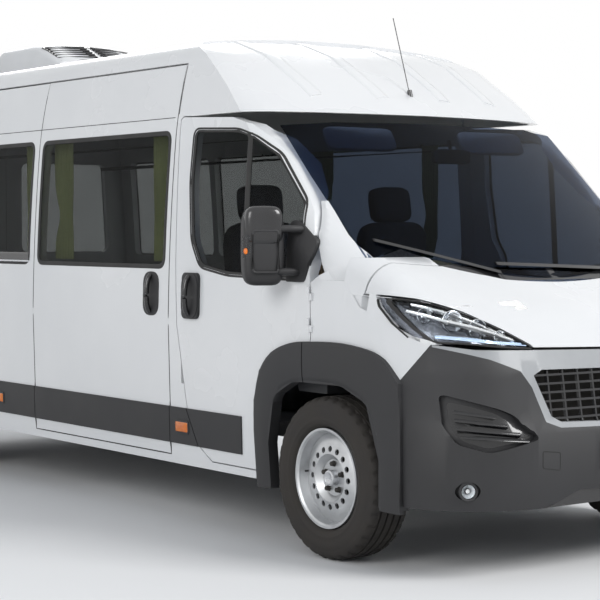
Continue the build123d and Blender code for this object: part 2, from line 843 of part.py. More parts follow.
def make_rim():
    """Steel wheel about X, its outer face towards +X."""
    w = TYRE_WIDTH / 2 - 14
    profile = [
        (RIM_R, w),
        (RIM_R, w - 10),
        (RIM_R - 9, w - 16),
        (RIM_R - 9, w - 50),
        (RIM_R - 26, w - 66),
        (RIM_R - 26, -w + 40),
        (RIM_R - 9, -w + 16),
        (RIM_R, -w + 8),
        (RIM_R, -w),
        (RIM_R - 16, -w + 4),
        (RIM_R - 20, -w + 24),
        (RIM_R - 34, -w + 40),
        (RIM_R - 34, w - 74),
        (RIM_R - 44, w - 60),
        (160.0, w - 42),
        (110.0, w - 34),
        (84.0, w - 58),
        (34.0, w - 58),
        (34.0, w - 50),
        (80.0, w - 50),
        (106.0, w - 24),
        (162.0, w - 32),
        (RIM_R - 24, w - 52),
        (RIM_R - 18, w - 8),
        (RIM_R - 10, w),
    ]
    body = revolve(make_face(Polyline(*profile, close=True)), Axis.Y)
    tool = Rot(90, 0, 0) * Cylinder(HOLE_R, 300)
    for k in range(HOLES):
        angle = 360.0 / HOLES * k
        spot = Rot(0, angle, 0) * Pos(HOLE_CIRCLE, w - 40, 0)
        body -= spot * tool
    return (Rot(0, 0, -90) * body).solid()


HUB_FACE = TYRE_WIDTH / 2 - 14 - 58.0


def make_knuckle():
    """Steering knuckle and hub on +X, about the wheel's centre."""
    x = TRACK_FRONT / 2
    hub = Pos(x + HUB_FACE - 12 - SEAT_GAP, 0, 0) * (Rot(0, 90, 0) * Cylinder(78, 24))
    spindle = Pos(x + HUB_FACE + 8, 0, 0) * (Rot(0, 90, 0) * Cylinder(33.0, 60))
    carrier = Pos(x + HUB_FACE - 60, 0, 0) * Box(74, 90, 260)
    disc = Pos(x + HUB_FACE - 40, 0, 0) * (Rot(0, 90, 0) * Cylinder(125, 24))
    arm = Pos(x + HUB_FACE - 80, 75, -60) * Box(30, 110, 24)
    pin = Pos(KINGPIN, 0, 0) * Cylinder(PIN_R, 2 * (KNUCKLE_HALF + 24))
    body = hub + spindle + carrier + disc + arm + pin
    return (Pos(0, at(FRONT_OVERHANG), TYRE_R) * body).solid()


# Steering pin: its place across the van, its radius, and half the knuckle's height
KINGPIN = 880.0
PIN_R = 13.0
KNUCKLE_HALF = 130.0


def make_front_axle():
    """Subframe with lower arms and struts up to the towers."""
    x = TRACK_FRONT / 2 + HUB_FACE - 60
    cross = block(-480, 480, 850, 1040, 330, 429.7) + block(-330, 330, 340, 850, 370, 400)
    arms = Part()
    low = TYRE_R - KNUCKLE_HALF - SEAT_GAP
    arm = block(440, x + 25, 918, 978, low - 30, low)
    arm += block(440, 500, 880, 1016, low - 30, 400)
    top = TYRE_R + KNUCKLE_HALF + SEAT_GAP
    arm2 = block(690, x + 25, 920, 976, top, top + 28)
    strut = rod((712, 948, top), (690, 960, 960), 28.0)
    tower = block(600, 780, 880, 1009.7, 960, 990)
    body = arm + arm2 + strut + tower
    d = FRONT_OVERHANG
    body -= rod((KINGPIN, d, low - 60), (KINGPIN, d, top + 60), PIN_R + SEAT_GAP)
    return cross + both(body)


def make_rear_axle():
    """Beam axle, leaf springs and hubs."""
    d = FRONT_OVERHANG + WHEELBASE
    x = TRACK_REAR / 2 + HUB_FACE
    beam = rod((-x + 10, d, TYRE_R), (x - 10, d, TYRE_R), 45.0)
    hubs = rod((x - 60, d, TYRE_R), (x - SEAT_GAP, d, TYRE_R), 120.0)
    hubs += rod((x - 20, d, TYRE_R), (x + 40, d, TYRE_R), 33.0)
    spring = Part()
    for k in range(3):
        z = TYRE_R - 60 - k * 14
        half = 640 - k * 130
        spring += block(520, 590, d - half, d + half, z, z + 14)
    seat = block(510, 600, d - 70, d + 70, TYRE_R - 60, TYRE_R)
    front = block(515, 595, d - 640, d - 590, TYRE_R - 60, 500)
    back = block(515, 595, d + 590, d + 640, TYRE_R - 60, 500)
    return beam + both(hubs + spring + seat + front + back)


def make_chassis():
    """Rails and cross members under the floor, with tank and silencer."""
    rail = block(400, 470, 150, 1000, 430, 500) + block(400, 470, 1000, 5800, 430, 500)
    rail += block(400, 470, 1041, 5800, 410, 440)
    rails = both(rail)
    for d in (1120.0, 2250.0, 3250.0, 4200.0, 5650.0):
        rails += block(-400, 400, d, d + 60, 430, 500)
    rails += block(-560, 560, 100, 150, 430, 520)
    return rails


def make_tank():
    tank = block(480, 860, 2350, 3350, 280, 499.7)
    return tank


def make_floor():
    """Load floor, cab floor, bulkhead and rear wheel boxes."""
    top = FLOOR_TOP
    low = FLOOR_TOP - FLOOR_THICK
    wall = FLOOR_HALF
    slab = block(-wall, wall, BAY_FRONT, SIDE_REAR, low, top)
    slab += block(-CAB_FLOOR_HALF, CAB_FLOOR_HALF, 1420, BAY_FRONT, low, top)
    slab += block(-480, 480, 1010, 1420, low, top)
    slab += block(-480, 480, 1010, 1040, low, 1190)
    slab += block(-CAB_FLOOR_HALF, CAB_FLOOR_HALF, 1010, 1040, 800, 1190)
    d = FRONT_OVERHANG + WHEELBASE
    slab -= block(650, 1100, d - 420, d + 420, 0, 1000)
    slab -= block(-1100, -650, d - 420, d + 420, 0, 1000)
    box = block(650, wall, d - 432, d + 432, low, 850) - block(662, 1100, d - 420, d + 420, 0, 838)
    return slab + both(box)


def make_engine():
    return block(-340, 330, 330, 840, 400.3, 960)


def make_dash():
    points = [
        (1040.3, 720.0),
        (1040.3, 1170.0),
        (1120.0, 1205.0),
        (1290.0, 1190.0),
        (1390.0, 1110.0),
        (1340.0, 900.0),
        (1250.0, 720.0),
    ]
    x, d, z = WHEEL_HUB
    length = COLUMN_END - COLUMN_START - SEAT_GAP
    column = Pos(0, 0, -COLUMN_START - SEAT_GAP - length / 2) * Cylinder(36, length)
    column = Pos(x, at(d), z) * Rot(-STEERING_TILT, 0, 0) * column
    return (side_prism(points, -920, 920) + column).solid()


WHEEL_HUB = (430.0, 1440.0, 1150.0)
STEERING_R = 195.0
STEERING_TILT = 28.0
COLUMN_START = 50.0
COLUMN_END = 270.0


def make_steering_wheel():
    """Rim, spokes and hub of the steering wheel, tipped towards the driver."""
    ring = Torus(STEERING_R, 14.0)
    hub = Cylinder(55, 30)
    spokes = Box(2 * STEERING_R - 6, 26, 12) + Pos(0, -STEERING_R / 2, 0) * Box(30, STEERING_R, 12)
    stem = Pos(0, 0, -COLUMN_START / 2) * Cylinder(20, COLUMN_START)
    body = ring + hub + spokes + stem
    x, d, z = WHEEL_HUB
    return (Pos(x, at(d), z) * Rot(-STEERING_TILT, 0, 0) * body).solid()


def make_seats():
    seats = []
    for x in (430.0, -430.0):
        base = block(x - 200, x + 200, 1720, 2100, FLOOR_TOP + 0.3, 800)
        cushion = block(x - 240, x + 240, 1640, 2140, 800, 930)
        back = side_prism([(2100, 900), (2200, 1480), (2290, 1480), (2220, 900)], x - 230, x + 230)
        head = side_prism([(2205, 1480), (2225, 1680), (2300, 1680), (2290, 1480)], x - 130, x + 130)
        seats.append((base + cushion + back + head).solid())
    return Part() + seats


def make_furniture():
    """Kitchen block on the left, bed platform across the rear."""
    kitchen = block(420, 940, 2500, 3700, FLOOR_TOP + 0.3, 1250)
    bed = block(-930, 930, 4550, 5850, 1000, 1050)
    bed += block(-640, 640, 4550, 4600, FLOOR_TOP + 0.3, 1000)
    return Part() + [kitchen, bed]


# Soft curtains beside the windows: side, front d, rear d
CURTAINS = [(-1, 2275.0, 2380.0), (-1, 3420.0, 3550.0), (-1, 3700.0, 3860.0), (1, 2275.0, 2380.0), (1, 3420.0, 3550.0)]


def make_curtains():
    panels = []
    for side, d0, d1 in CURTAINS:
        panels.append(block(side * 892, side * 915.8, d0, d1, 1290, 1925))
    return Part() + panels


# Roof unit over the living space
UNIT_D = (4540.0, 5340.0)
UNIT_HALF = 290.0
UNIT_TOP = 2600.0


def make_roof_unit():
    d0, d1 = UNIT_D
    points = [(d0 - 60, 2400.0), (d0 - 60, 2480.0), (d0 + 60, UNIT_TOP), (d1 - 120, UNIT_TOP), (d1, 2500.0), (d1, 2400.0)]
    body = side_prism(points, -UNIT_HALF, UNIT_HALF) - tube(-SEAT_GAP, 0.0, REAR_FACE)
    return largest(body)


# Wipers: x and z of the pivot, then x and z of the tip
WIPERS = [(-300.0, 1262.0, -800.0, 1405.0), (480.0, 1268.0, -290.0, 1300.0)]
WIPER_LIFT = 17.0
WIPER_GAP = 2.0
WIPER_HALF = 7.0


def ahead_of_screen(margin):
    """Cab front moved forward by margin, as far as the wipers need it."""
    return leaning_stack(cab_plan(0.0, 1400.0), CAB_FRONT[:2], shift=-margin)


def make_wipers():
    """Two wiper arms that follow the screen, their pivots standing on the tray."""
    layer = ahead_of_screen(WIPER_LIFT) - ahead_of_screen(WIPER_GAP)
    arms = []
    for x0, z0, x1, z1 in WIPERS:
        length = ((x1 - x0) ** 2 + (z1 - z0) ** 2) ** 0.5
        nx, nz = -(z1 - z0) / length * WIPER_HALF, (x1 - x0) / length * WIPER_HALF
        strip = [(x0 + nx, z0 + nz), (x1 + nx, z1 + nz), (x1 - nx, z1 - nz), (x0 - nx, z0 - nz)]
        arm = layer & front_prism(strip, 400, 1000)
        (da, za), (db, zb) = CAB_FRONT[0], CAB_FRONT[1]
        low = da + SCREEN_SWEEP * (x0 / SCREEN_HALF) ** 2
        knee = (x0, low - 12.0, za - 4.0)
        top = (x0, low + (z0 - za) * (db - da) / (zb - za) - (WIPER_LIFT + WIPER_GAP) / 2, z0)
        post = rod((x0, low - 12.0, TRAY_TOP + SEAT_GAP), (x0, low - 12.0, za - 1.0), 6.0)
        arms.append(largest(arm + (post + rod(knee, top, 3.5))))
    return Part() + arms


def make_antenna():
    mast = rod((0, 1560, 2085), (0, 1701, 2509), 2.5) + rod((0, 1560, 2085), (0, 1573, 2140), 12.0)
    mast -= Pos(0, 0, SEAT_GAP) * cab()
    return max(mast.solids(), key=lambda s: s.bounding_box().max.Z)


def build():
    """All nodes by name."""
    nodes = {}
    nodes["bonnet"] = make_bonnet()
    nodes["headlamps"] = both(make_lamp())
    nodes["grille_frame"], nodes["grille_mesh"] = make_grille()
    nodes["bumper_front"] = make_bumper()
    wing = make_wing()
    for z in HINGE_LEVELS_CAB:
        wing += hinge_seat(CAB_HINGE, z, 24.0)
    nodes["wing_left"] = wing
    nodes["wing_right"] = mirror(wing, about=Plane.YZ)
    nodes["front_frame"] = make_front_frame()
    nodes["windscreen"] = make_screen()
    nodes["roof_cap"] = make_roof_cap()
    nodes["roof"] = make_roof()
    nodes["side_left"] = make_side(1)
    nodes["side_right"] = make_side(-1)
    nodes["slide_door"] = make_slide_door()
    nodes["side_glass"] = make_side_glass()
    pairs = {
        "cab_door": make_cab_door(),
        "cab_glass": make_cab_glass(),
        "door_trim": make_door_trim(),
        "mirror": make_mirror(),
        "rear_door": make_rear_door(),
        "rear_glass": make_rear_glass(),
        "knuckle": make_knuckle(),
    }
    for name, shape in pairs.items():
        nodes[name + "_left"] = shape
        nodes[name + "_right"] = mirror(shape, about=Plane.YZ)
    nodes["bumper_rear"] = make_bumper_rear()
    nodes["mouldings"] = make_mouldings()
    tyre, rim = make_tyre(), make_rim()
    for row in ("front", "rear"):
        for side, word in ((1, "left"), (-1, "right")):
            place = wheel_place(row, side)
            turn = Rot(0, 0, 0 if side > 0 else 180)
            nodes[f"tyre_{row}_{word}"] = place * tyre
            nodes[f"rim_{row}_{word}"] = place * turn * rim
    nodes["front_axle"] = make_front_axle()
    nodes["rear_axle"] = make_rear_axle()
    nodes["chassis"] = make_chassis()
    nodes["tank"] = make_tank()
    nodes["floor"] = make_floor()
    nodes["engine"] = make_engine()
    nodes["dashboard"] = make_dash()
    nodes["steering_wheel"] = make_steering_wheel()
    nodes["seats"] = make_seats()
    nodes["furniture"] = make_furniture()
    nodes["curtains"] = make_curtains()
    nodes["roof_unit"] = make_roof_unit()
    nodes["wipers"] = make_wipers()
    nodes["antenna"] = make_antenna()
    return nodes


def main():
    os.makedirs("parts", exist_ok=True)
    for name, shape in build().items():
        export_step(shape, f"parts/{name}.step")


if __name__ == "__main__":
    main()
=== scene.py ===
"""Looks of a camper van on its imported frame.

Tables are in millimetres: x to the van's left, d behind the foremost point, z above the ground.
Blender's own lengths are metres.
"""

import math

import bmesh
import bpy
from mathutils import Matrix, Vector
from mathutils.bvhtree import BVHTree
from mathutils.geometry import delaunay_2d_cdt


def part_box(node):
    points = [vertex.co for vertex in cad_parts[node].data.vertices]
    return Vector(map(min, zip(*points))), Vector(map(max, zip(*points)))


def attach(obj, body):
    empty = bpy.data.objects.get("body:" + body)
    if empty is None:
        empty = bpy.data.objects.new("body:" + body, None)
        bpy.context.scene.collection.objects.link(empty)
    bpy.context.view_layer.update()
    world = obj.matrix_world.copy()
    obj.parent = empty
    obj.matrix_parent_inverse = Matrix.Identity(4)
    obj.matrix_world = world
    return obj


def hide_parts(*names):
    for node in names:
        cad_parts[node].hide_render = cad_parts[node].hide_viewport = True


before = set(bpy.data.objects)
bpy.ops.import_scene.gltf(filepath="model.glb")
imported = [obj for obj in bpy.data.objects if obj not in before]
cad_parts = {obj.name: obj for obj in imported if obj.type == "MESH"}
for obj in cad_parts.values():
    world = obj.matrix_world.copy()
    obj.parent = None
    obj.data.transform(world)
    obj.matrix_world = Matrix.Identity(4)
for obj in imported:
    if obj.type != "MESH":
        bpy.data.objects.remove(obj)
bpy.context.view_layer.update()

MM = 0.001
NOSE_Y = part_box("bumper_front")[0].y
REAR_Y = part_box("bumper_rear")[1].y
SIDES = {"left": 1, "right": -1}

# Camera: place in metres, turn from +Y towards +X and tilt down in degrees
CAMERA_PLACE = (-5.716, -8.2437, 1.4548)
CAMERA_YAW = 36.47
CAMERA_DOWN = 2.29
CAMERA_ROLL = -0.05
CAMERA_LENS = 106.94


def place(x, d, z):
    """Point of a table as a vector in metres."""
    return Vector((x * MM, NOSE_Y + d * MM, z * MM))


# Materials

# Name: darker colour, lighter colour, size of the patches, roughness low and high,
# metallic, coat, grains per metre, depth of the grain in mm
FINISHES = {
    "paint": ((0.66, 0.67, 0.68), (0.73, 0.735, 0.74), 0.9, 0.20, 0.30, 0.0, 0.5, 700, 0.010),
    "trim": ((0.013, 0.013, 0.014), (0.022, 0.022, 0.024), 3.0, 0.50, 0.66, 0.0, 0.0, 950, 0.10),
    "gloss_black": ((0.010, 0.010, 0.011), (0.018, 0.018, 0.020), 4.0, 0.16, 0.26, 0.0, 0.3, 500, 0.01),
    "rubber": ((0.008, 0.008, 0.008), (0.016, 0.016, 0.016), 9.0, 0.55, 0.75, 0.0, 0.0, 900, 0.06),
    "tyre": ((0.013, 0.011, 0.010), (0.030, 0.026, 0.022), 6.0, 0.72, 0.92, 0.0, 0.0, 600, 0.15),
    "steel_wheel": ((0.42, 0.43, 0.44), (0.60, 0.61, 0.62), 8.0, 0.30, 0.48, 0.75, 0.1, 500, 0.03),
    "chrome": ((0.70, 0.71, 0.72), (0.80, 0.81, 0.82), 5.0, 0.08, 0.16, 1.0, 0.0, 200, 0.005),
    "silver_trim": ((0.50, 0.51, 0.53), (0.62, 0.63, 0.65), 5.0, 0.22, 0.34, 0.7, 0.3, 600, 0.01),
    "dark_metal": ((0.020, 0.019, 0.018), (0.060, 0.055, 0.050), 7.0, 0.55, 0.80, 0.5, 0.0, 300, 0.15),
    "dash": ((0.020, 0.021, 0.023), (0.036, 0.037, 0.040), 5.0, 0.50, 0.65, 0.0, 0.0, 1100, 0.08),
    "seat_cloth": ((0.050, 0.052, 0.058), (0.095, 0.098, 0.108), 60.0, 0.80, 0.95, 0.0, 0.0, 1500, 0.30),
    "wood": ((0.26, 0.17, 0.10), (0.40, 0.28, 0.17), 14.0, 0.40, 0.55, 0.0, 0.1, 400, 0.05),
    "floor_cover": ((0.10, 0.10, 0.10), (0.16, 0.155, 0.15), 20.0, 0.55, 0.75, 0.0, 0.0, 500, 0.10),
    "curtain": ((0.60, 0.64, 0.30), (0.74, 0.78, 0.42), 90.0, 0.80, 0.95, 0.0, 0.0, 2200, 0.15),
    "unit_white": ((0.66, 0.665, 0.67), (0.74, 0.745, 0.75), 2.0, 0.38, 0.50, 0.0, 0.1, 800, 0.04),
    "amber": ((0.55, 0.12, 0.006), (0.72, 0.19, 0.012), 20.0, 0.14, 0.24, 0.0, 0.4, 300, 0.02),
    "chin_silver": ((0.25, 0.26, 0.27), (0.31, 0.32, 0.33), 5.0, 0.40, 0.55, 0.0, 0.2, 600, 0.01),
    "reflector": ((0.78, 0.80, 0.83), (0.90, 0.92, 0.94), 30.0, 0.06, 0.20, 1.0, 0.0, 400, 0.03),
    "light_strip": ((0.50, 0.66, 0.90), (0.62, 0.76, 0.96), 20.0, 0.10, 0.20, 0.3, 0.4, 300, 0.02),
    "lamp_shell": ((0.10, 0.11, 0.13), (0.17, 0.18, 0.21), 12.0, 0.18, 0.35, 0.6, 0.2, 400, 0.03),
    "mattress": ((0.30, 0.31, 0.33), (0.38, 0.39, 0.41), 40.0, 0.80, 0.95, 0.0, 0.0, 1500, 0.25),
    "blank_plate": ((0.70, 0.70, 0.69), (0.76, 0.76, 0.75), 8.0, 0.35, 0.50, 0.0, 0.2, 500, 0.01),
    "red_lens": ((0.30, 0.010, 0.008), (0.42, 0.020, 0.014), 20.0, 0.14, 0.24, 0.0, 0.4, 300, 0.02),
}


def finish_material(name):
    """Principled material with patches of two colours, uneven gloss and a fine grain."""
    low, high, patch, rough_low, rough_high, metallic, coat, grains, depth = FINISHES[name]
    material = bpy.data.materials.new(name)
    material.use_nodes = True
    nodes = material.node_tree.nodes
    link = material.node_tree.links.new
    shader = nodes["Principled BSDF"]
    shader.inputs["Metallic"].default_value = metallic
    shader.inputs["Coat Weight"].default_value = coat
    shader.inputs["Coat Roughness"].default_value = 0.08
    where = nodes.new("ShaderNodeTexCoord")
    patches = nodes.new("ShaderNodeTexNoise")
    patches.inputs["Scale"].default_value = patch
    patches.inputs["Detail"].default_value = 5.0
    link(where.outputs["Object"], patches.inputs["Vector"])
    ramp = nodes.new("ShaderNodeValToRGB")
    ramp.color_ramp.elements[0].position = 0.32
    ramp.color_ramp.elements[1].position = 0.68
    ramp.color_ramp.elements[0].color = (*low, 1.0)
    ramp.color_ramp.elements[1].color = (*high, 1.0)
    link(patches.outputs["Fac"], ramp.inputs["Fac"])
    link(ramp.outputs["Color"], shader.inputs["Base Color"])
    gloss = nodes.new("ShaderNodeMapRange")
    gloss.inputs["From Min"].default_value = 0.3
    gloss.inputs["From Max"].default_value = 0.7
    gloss.inputs["To Min"].default_value = rough_low
    gloss.inputs["To Max"].default_value = rough_high
    link(patches.outputs["Fac"], gloss.inputs["Value"])
    link(gloss.outputs["Result"], shader.inputs["Roughness"])
    grain = nodes.new("ShaderNodeTexNoise")
    grain.inputs["Scale"].default_value = grains
    grain.inputs["Detail"].default_value = 2.0
    link(where.outputs["Object"], grain.inputs["Vector"])
    bump = nodes.new("ShaderNodeBump")
    bump.inputs["Distance"].default_value = depth * MM
    bump.inputs["Strength"].default_value = 0.8
    link(grain.outputs["Fac"], bump.inputs["Height"])
    link(bump.outputs["Normal"], shader.inputs["Normal"])
    return material


def glass_material(name, tint, rough, ior, clear=1.0):
    """Tinted clear material with faint dust in its gloss."""
    material = bpy.data.materials.new(name)
    material.use_nodes = True
    nodes = material.node_tree.nodes
    link = material.node_tree.links.new
    shader = nodes["Principled BSDF"]
    shader.inputs["Transmission Weight"].default_value = clear
    shader.inputs["IOR"].default_value = ior
    where = nodes.new("ShaderNodeTexCoord")
    dust = nodes.new("ShaderNodeTexNoise")
    dust.inputs["Scale"].default_value = 7.0
    dust.inputs["Detail"].default_value = 6.0
    link(where.outputs["Object"], dust.inputs["Vector"])
    ramp = nodes.new("ShaderNodeValToRGB")
    ramp.color_ramp.elements[0].color = (*tint, 1.0)
    ramp.color_ramp.elements[1].color = (*[min(1.0, c * 1.15) for c in tint], 1.0)
    link(dust.outputs["Fac"], ramp.inputs["Fac"])
    link(ramp.outputs["Color"], shader.inputs["Base Color"])
    gloss = nodes.new("ShaderNodeMapRange")
    gloss.inputs["To Min"].default_value = rough
    gloss.inputs["To Max"].default_value = rough + 0.03
    link(dust.outputs["Fac"], gloss.inputs["Value"])
    link(gloss.outputs["Result"], shader.inputs["Roughness"])
    return material


looks = {name: finish_material(name) for name in FINISHES}
looks["screen_glass"] = glass_material("screen_glass", (0.075, 0.10, 0.155), 0.0, 1.10)
looks["side_glass"] = glass_material("side_glass", (0.25, 0.26, 0.26), 0.0, 1.09)
looks["lamp_lens"] = glass_material("lamp_lens", (0.93, 0.96, 0.98), 0.0, 1.12)

# Look: the CAD nodes that it covers, by the start of their names
NODE_LOOKS = {
    "paint": (
        "bonnet", "wing", "front_frame", "roof", "side_left", "side_right",
        "slide_door", "cab_door", "rear_door",
    ),
    "trim": ("bumper", "mouldings", "door_trim", "mirror"),
    "chin_silver": ("grille_frame",),
    "gloss_black": ("grille_mesh", "wipers", "antenna"),
    "lamp_lens": ("headlamps",),
    "screen_glass": ("windscreen",),
    "side_glass": ("cab_glass", "side_glass", "rear_glass"),
    "tyre": ("tyre",),
    "steel_wheel": ("rim",),
    "dark_metal": ("knuckle", "front_axle", "rear_axle", "chassis", "tank", "engine"),
    "floor_cover": ("floor",),
    "dash": ("dashboard", "steering_wheel"),
    "seat_cloth": ("seats",),
    "wood": ("furniture",),
    "curtain": ("curtains",),
    "unit_white": ("roof_unit",),
}


def dress_nodes():
    """Give every CAD node its material."""
    starts = {start: look for look, group in NODE_LOOKS.items() for start in group}
    for name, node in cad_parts.items():
        found = [start for start in starts if name.startswith(start)]
        node.data.materials.clear()
        node.data.materials.append(looks[starts[max(found, key=len)]])


dress_nodes()


def smooth_nodes():
    """Soften the facets of every CAD node's shading, with its real edges kept sharp."""
    tree = bpy.data.node_groups.new("soft_shading", "GeometryNodeTree")
    tree.interface.new_socket(name="Geometry", in_out="INPUT", socket_type="NodeSocketGeometry")
    tree.interface.new_socket(name="Geometry", in_out="OUTPUT", socket_type="NodeSocketGeometry")
    nodes = tree.nodes
    start = nodes.new("NodeGroupInput")
    end = nodes.new("NodeGroupOutput")
    merge = nodes.new("GeometryNodeMergeByDistance")
    merge.inputs["Distance"].default_value = 0.00002
    plain = nodes.new("GeometryNodeRemoveAttribute")
    plain.inputs["Name"].default_value = "custom_normal"
    faces = nodes.new("GeometryNodeSetShadeSmooth")
    faces.domain = "FACE"
    edges = nodes.new("GeometryNodeSetShadeSmooth")
    edges.domain = "EDGE"
    edges.inputs["Shade Smooth"].default_value = False
    angle = nodes.new("GeometryNodeInputMeshEdgeAngle")
    sharp = nodes.new("ShaderNodeMath")
    sharp.operation = "GREATER_THAN"
    sharp.inputs[1].default_value = math.radians(32.0)
    link = tree.links.new
    link(start.outputs[0], merge.inputs["Geometry"])
    link(merge.outputs["Geometry"], plain.inputs["Geometry"])
    link(plain.outputs["Geometry"], faces.inputs["Geometry"])
    link(faces.outputs["Geometry"], edges.inputs["Geometry"])
    link(angle.outputs["Unsigned Angle"], sharp.inputs[0])
    link(sharp.outputs["Value"], edges.inputs["Selection"])
    link(edges.outputs["Geometry"], end.inputs[0])
    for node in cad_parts.values():
        node.modifiers.new("soft_shading", "NODES").node_group = tree


smooth_nodes()


# Meshes and the skins that they lie on


def add_mesh(name, verts, faces, look, body, angle=35.0):
    """Closed mesh as a piece that rides on a body."""
    mesh = bpy.data.meshes.new(name)
    mesh.from_pydata([tuple(v) for v in verts], [], faces)
    work = bmesh.new()
    work.from_mesh(mesh)
    bmesh.ops.recalc_face_normals(work, faces=work.faces)
    work.to_mesh(mesh)
    work.free()
    for face in mesh.polygons:
        face.use_smooth = True
    mesh.set_sharp_from_angle(angle=math.radians(angle))
    mesh.materials.append(looks[look])
    piece = bpy.data.objects.new(name, mesh)
    bpy.context.scene.collection.objects.link(piece)
    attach(piece, body)
    return piece


# Foot of the cab's leaning front, d and z, and its run back over its rise
SCREEN_D = 543.0
SCREEN_Z = 1230.0
SCREEN_RUN = 807.0
SCREEN_RISE = 730.0


def table_value(table, x):
    """Value of a sorted table of pairs at x, by straight lines."""
    for (x0, y0), (x1, y1) in zip(table, table[1:]):
        if x <= x1:
            return y0 + (y1 - y0) * max(0.0, x - x0) / (x1 - x0)
    return table[-1][1]


def tree_of(names):
    """Ray tree over some CAD nodes."""
    verts = []
    faces = []
    for name in names:
        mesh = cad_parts[name].data
        start = len(verts)
        verts += [v.co.copy() for v in mesh.vertices]
        faces += [[start + i for i in p.vertices] for p in mesh.polygons]
    return BVHTree.FromPolygons(verts, faces)


INNER = ("mirror", "wipers", "antenna", "roof_unit", "curtains", "seats", "steering", "engine")
skin_tree = tree_of([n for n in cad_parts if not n.startswith(INNER)])


def project(start, direction, lift):
    """First point of the skin along a ray, lifted off it by some mm."""
    hit, normal, _, _ = skin_tree.ray_cast(start, direction)
    if hit is None:
        hit, normal, _, _ = skin_tree.find_nearest(start + direction * 1.0)
    if normal.dot(direction) > 0:
        normal = -normal
    return hit + normal * (lift * MM)


def on_side(side):
    """Projection of (d, z) onto one side of the van."""
    def find(p, lift):
        return project(place(side * 1400.0, p[0], p[1]), Vector((-side, 0, 0)), lift)
    return find


def on_front(p, lift):
    """Projection of (x, z) onto the front."""
    return project(place(p[0], -300.0, p[1]), Vector((0, 1, 0)), lift)


def on_rear(p, lift):
    """Projection of (x, z) onto the rear doors."""
    start = Vector((p[0] * MM, REAR_Y + 0.3, p[1] * MM))
    return project(start, Vector((0, -1, 0)), lift)


def on_top(p, lift):
    """Projection of (x, d) onto the roof or bonnet."""
    return project(place(p[0], p[1], 2900.0), Vector((0, 0, -1)), lift)


def dense(points, step, closed):
    """The same line with a point at least every step."""
    out = []
    count = len(points)
    for k in range(count if closed else count - 1):
        a = Vector(points[k])
        b = Vector(points[(k + 1) % count])
        parts = max(1, math.ceil((b - a).length / step))
        out += [a.lerp(b, i / parts) for i in range(parts)]
    if not closed:
        out.append(Vector(points[-1]))
    return out


def rounded(points, radius, steps=6):
    """A closed outline with rounded corners."""
    out = []
    count = len(points)
    for k in range(count):
        p = Vector(points[k])
        before = Vector(points[k - 1]) - p
        after = Vector(points[(k + 1) % count]) - p
        start = p + before.normalized() * min(radius, before.length / 2.05)
        end = p + after.normalized() * min(radius, after.length / 2.05)
        for i in range(steps + 1):
            t = i / steps
            out.append(start * (1 - t) ** 2 + p * (2 * t * (1 - t)) + end * t * t)
    return out


def box_line(d0, d1, z0, z1):
    """Corners of an upright rectangle."""
    return [(d0, z0), (d0, z1), (d1, z1), (d1, z0)]


def strip(name, line, half, lift, look, body, find, closed=True, step=30.0, sunk=3.0):
    """Raised band along a line on the skin, with sloping edges."""
    points = dense(line, step, closed)
    count = len(points)
    edge = lift * 0.7
    section = ((-1.0, -sunk), (-0.85, edge), (-0.4, lift), (0.4, lift), (0.85, edge), (1.0, -sunk))
    verts = []
    for k, p in enumerate(points):
        before = points[k - 1] if closed or k else p
        after = points[(k + 1) % count] if closed or k < count - 1 else p
        along = (after - before).normalized()
        across = Vector((-along.y, along.x))
        for share, height in section:
            verts.append(find(p + across * (half * share), height))
    faces = []
    rows = count if closed else count - 1
    for k in range(rows):
        a = k * 6
        b = (k + 1) % count * 6
        faces += [[a + i, a + (i + 1) % 6, b + (i + 1) % 6, b + i] for i in range(6)]
    if not closed:
        faces += [list(range(6)), list(range((count - 1) * 6, count * 6))]
    return add_mesh(name, verts, faces, look, body, angle=60.0)


def plate(name, line, lift, look, body, find, bulge=0.0, rings=4, sunk=3.0):
    """Filled raised shape on the skin, its middle bulged outwards."""
    points = [Vector(p) for p in line]
    middle = sum(points, Vector((0, 0))) / len(points)
    count = len(points)
    verts = [find(p, -sunk) for p in points]
    for ring in range(rings):
        share = 1.0 - ring / rings
        edge = 0.0 if ring else lift * 0.35
        height = (lift - edge) + bulge * (1.0 - share * share)
        scale = share if ring else 1.0
        inset = 0.985 if not ring else 1.0
        verts += [find(middle + (p - middle) * scale * inset, height) for p in points]
    verts.append(find(middle, lift + bulge))
    faces = []
    for ring in range(rings):
        a = ring * count
        b = (ring + 1) * count
        faces += [[a + k, a + (k + 1) % count, b + (k + 1) % count, b + k] for k in range(count)]
    last = rings * count
    faces += [[last + k, last + (k + 1) % count, len(verts) - 1] for k in range(count)]
    faces.append(list(range(count)))
    return add_mesh(name, verts, faces, look, body, angle=50.0)


def tube(name, points, radius, look, body, closed=False, sides=12):
    """Round bar through points in metres, its ends capped."""
    count = len(points)
    verts = []
    for k, p in enumerate(points):
        before = points[k - 1] if closed or k else p
        after = points[(k + 1) % count] if closed or k < count - 1 else p
        turn = (after - before).to_track_quat("Z", "Y").to_matrix()
        for i in range(sides):
            angle = 2 * math.pi * i / sides
            verts.append(p + turn @ Vector((math.cos(angle), math.sin(angle), 0)) * (radius * MM))
    faces = []
    for k in range(count if closed else count - 1):
        a = k * sides
        b = (k + 1) % count * sides
        faces += [[a + i, a + (i + 1) % sides, b + (i + 1) % sides, b + i] for i in range(sides)]
    if not closed:
        faces += [list(range(sides)), list(range((count - 1) * sides, count * sides))]
    return add_mesh(name, verts, faces, look, body)


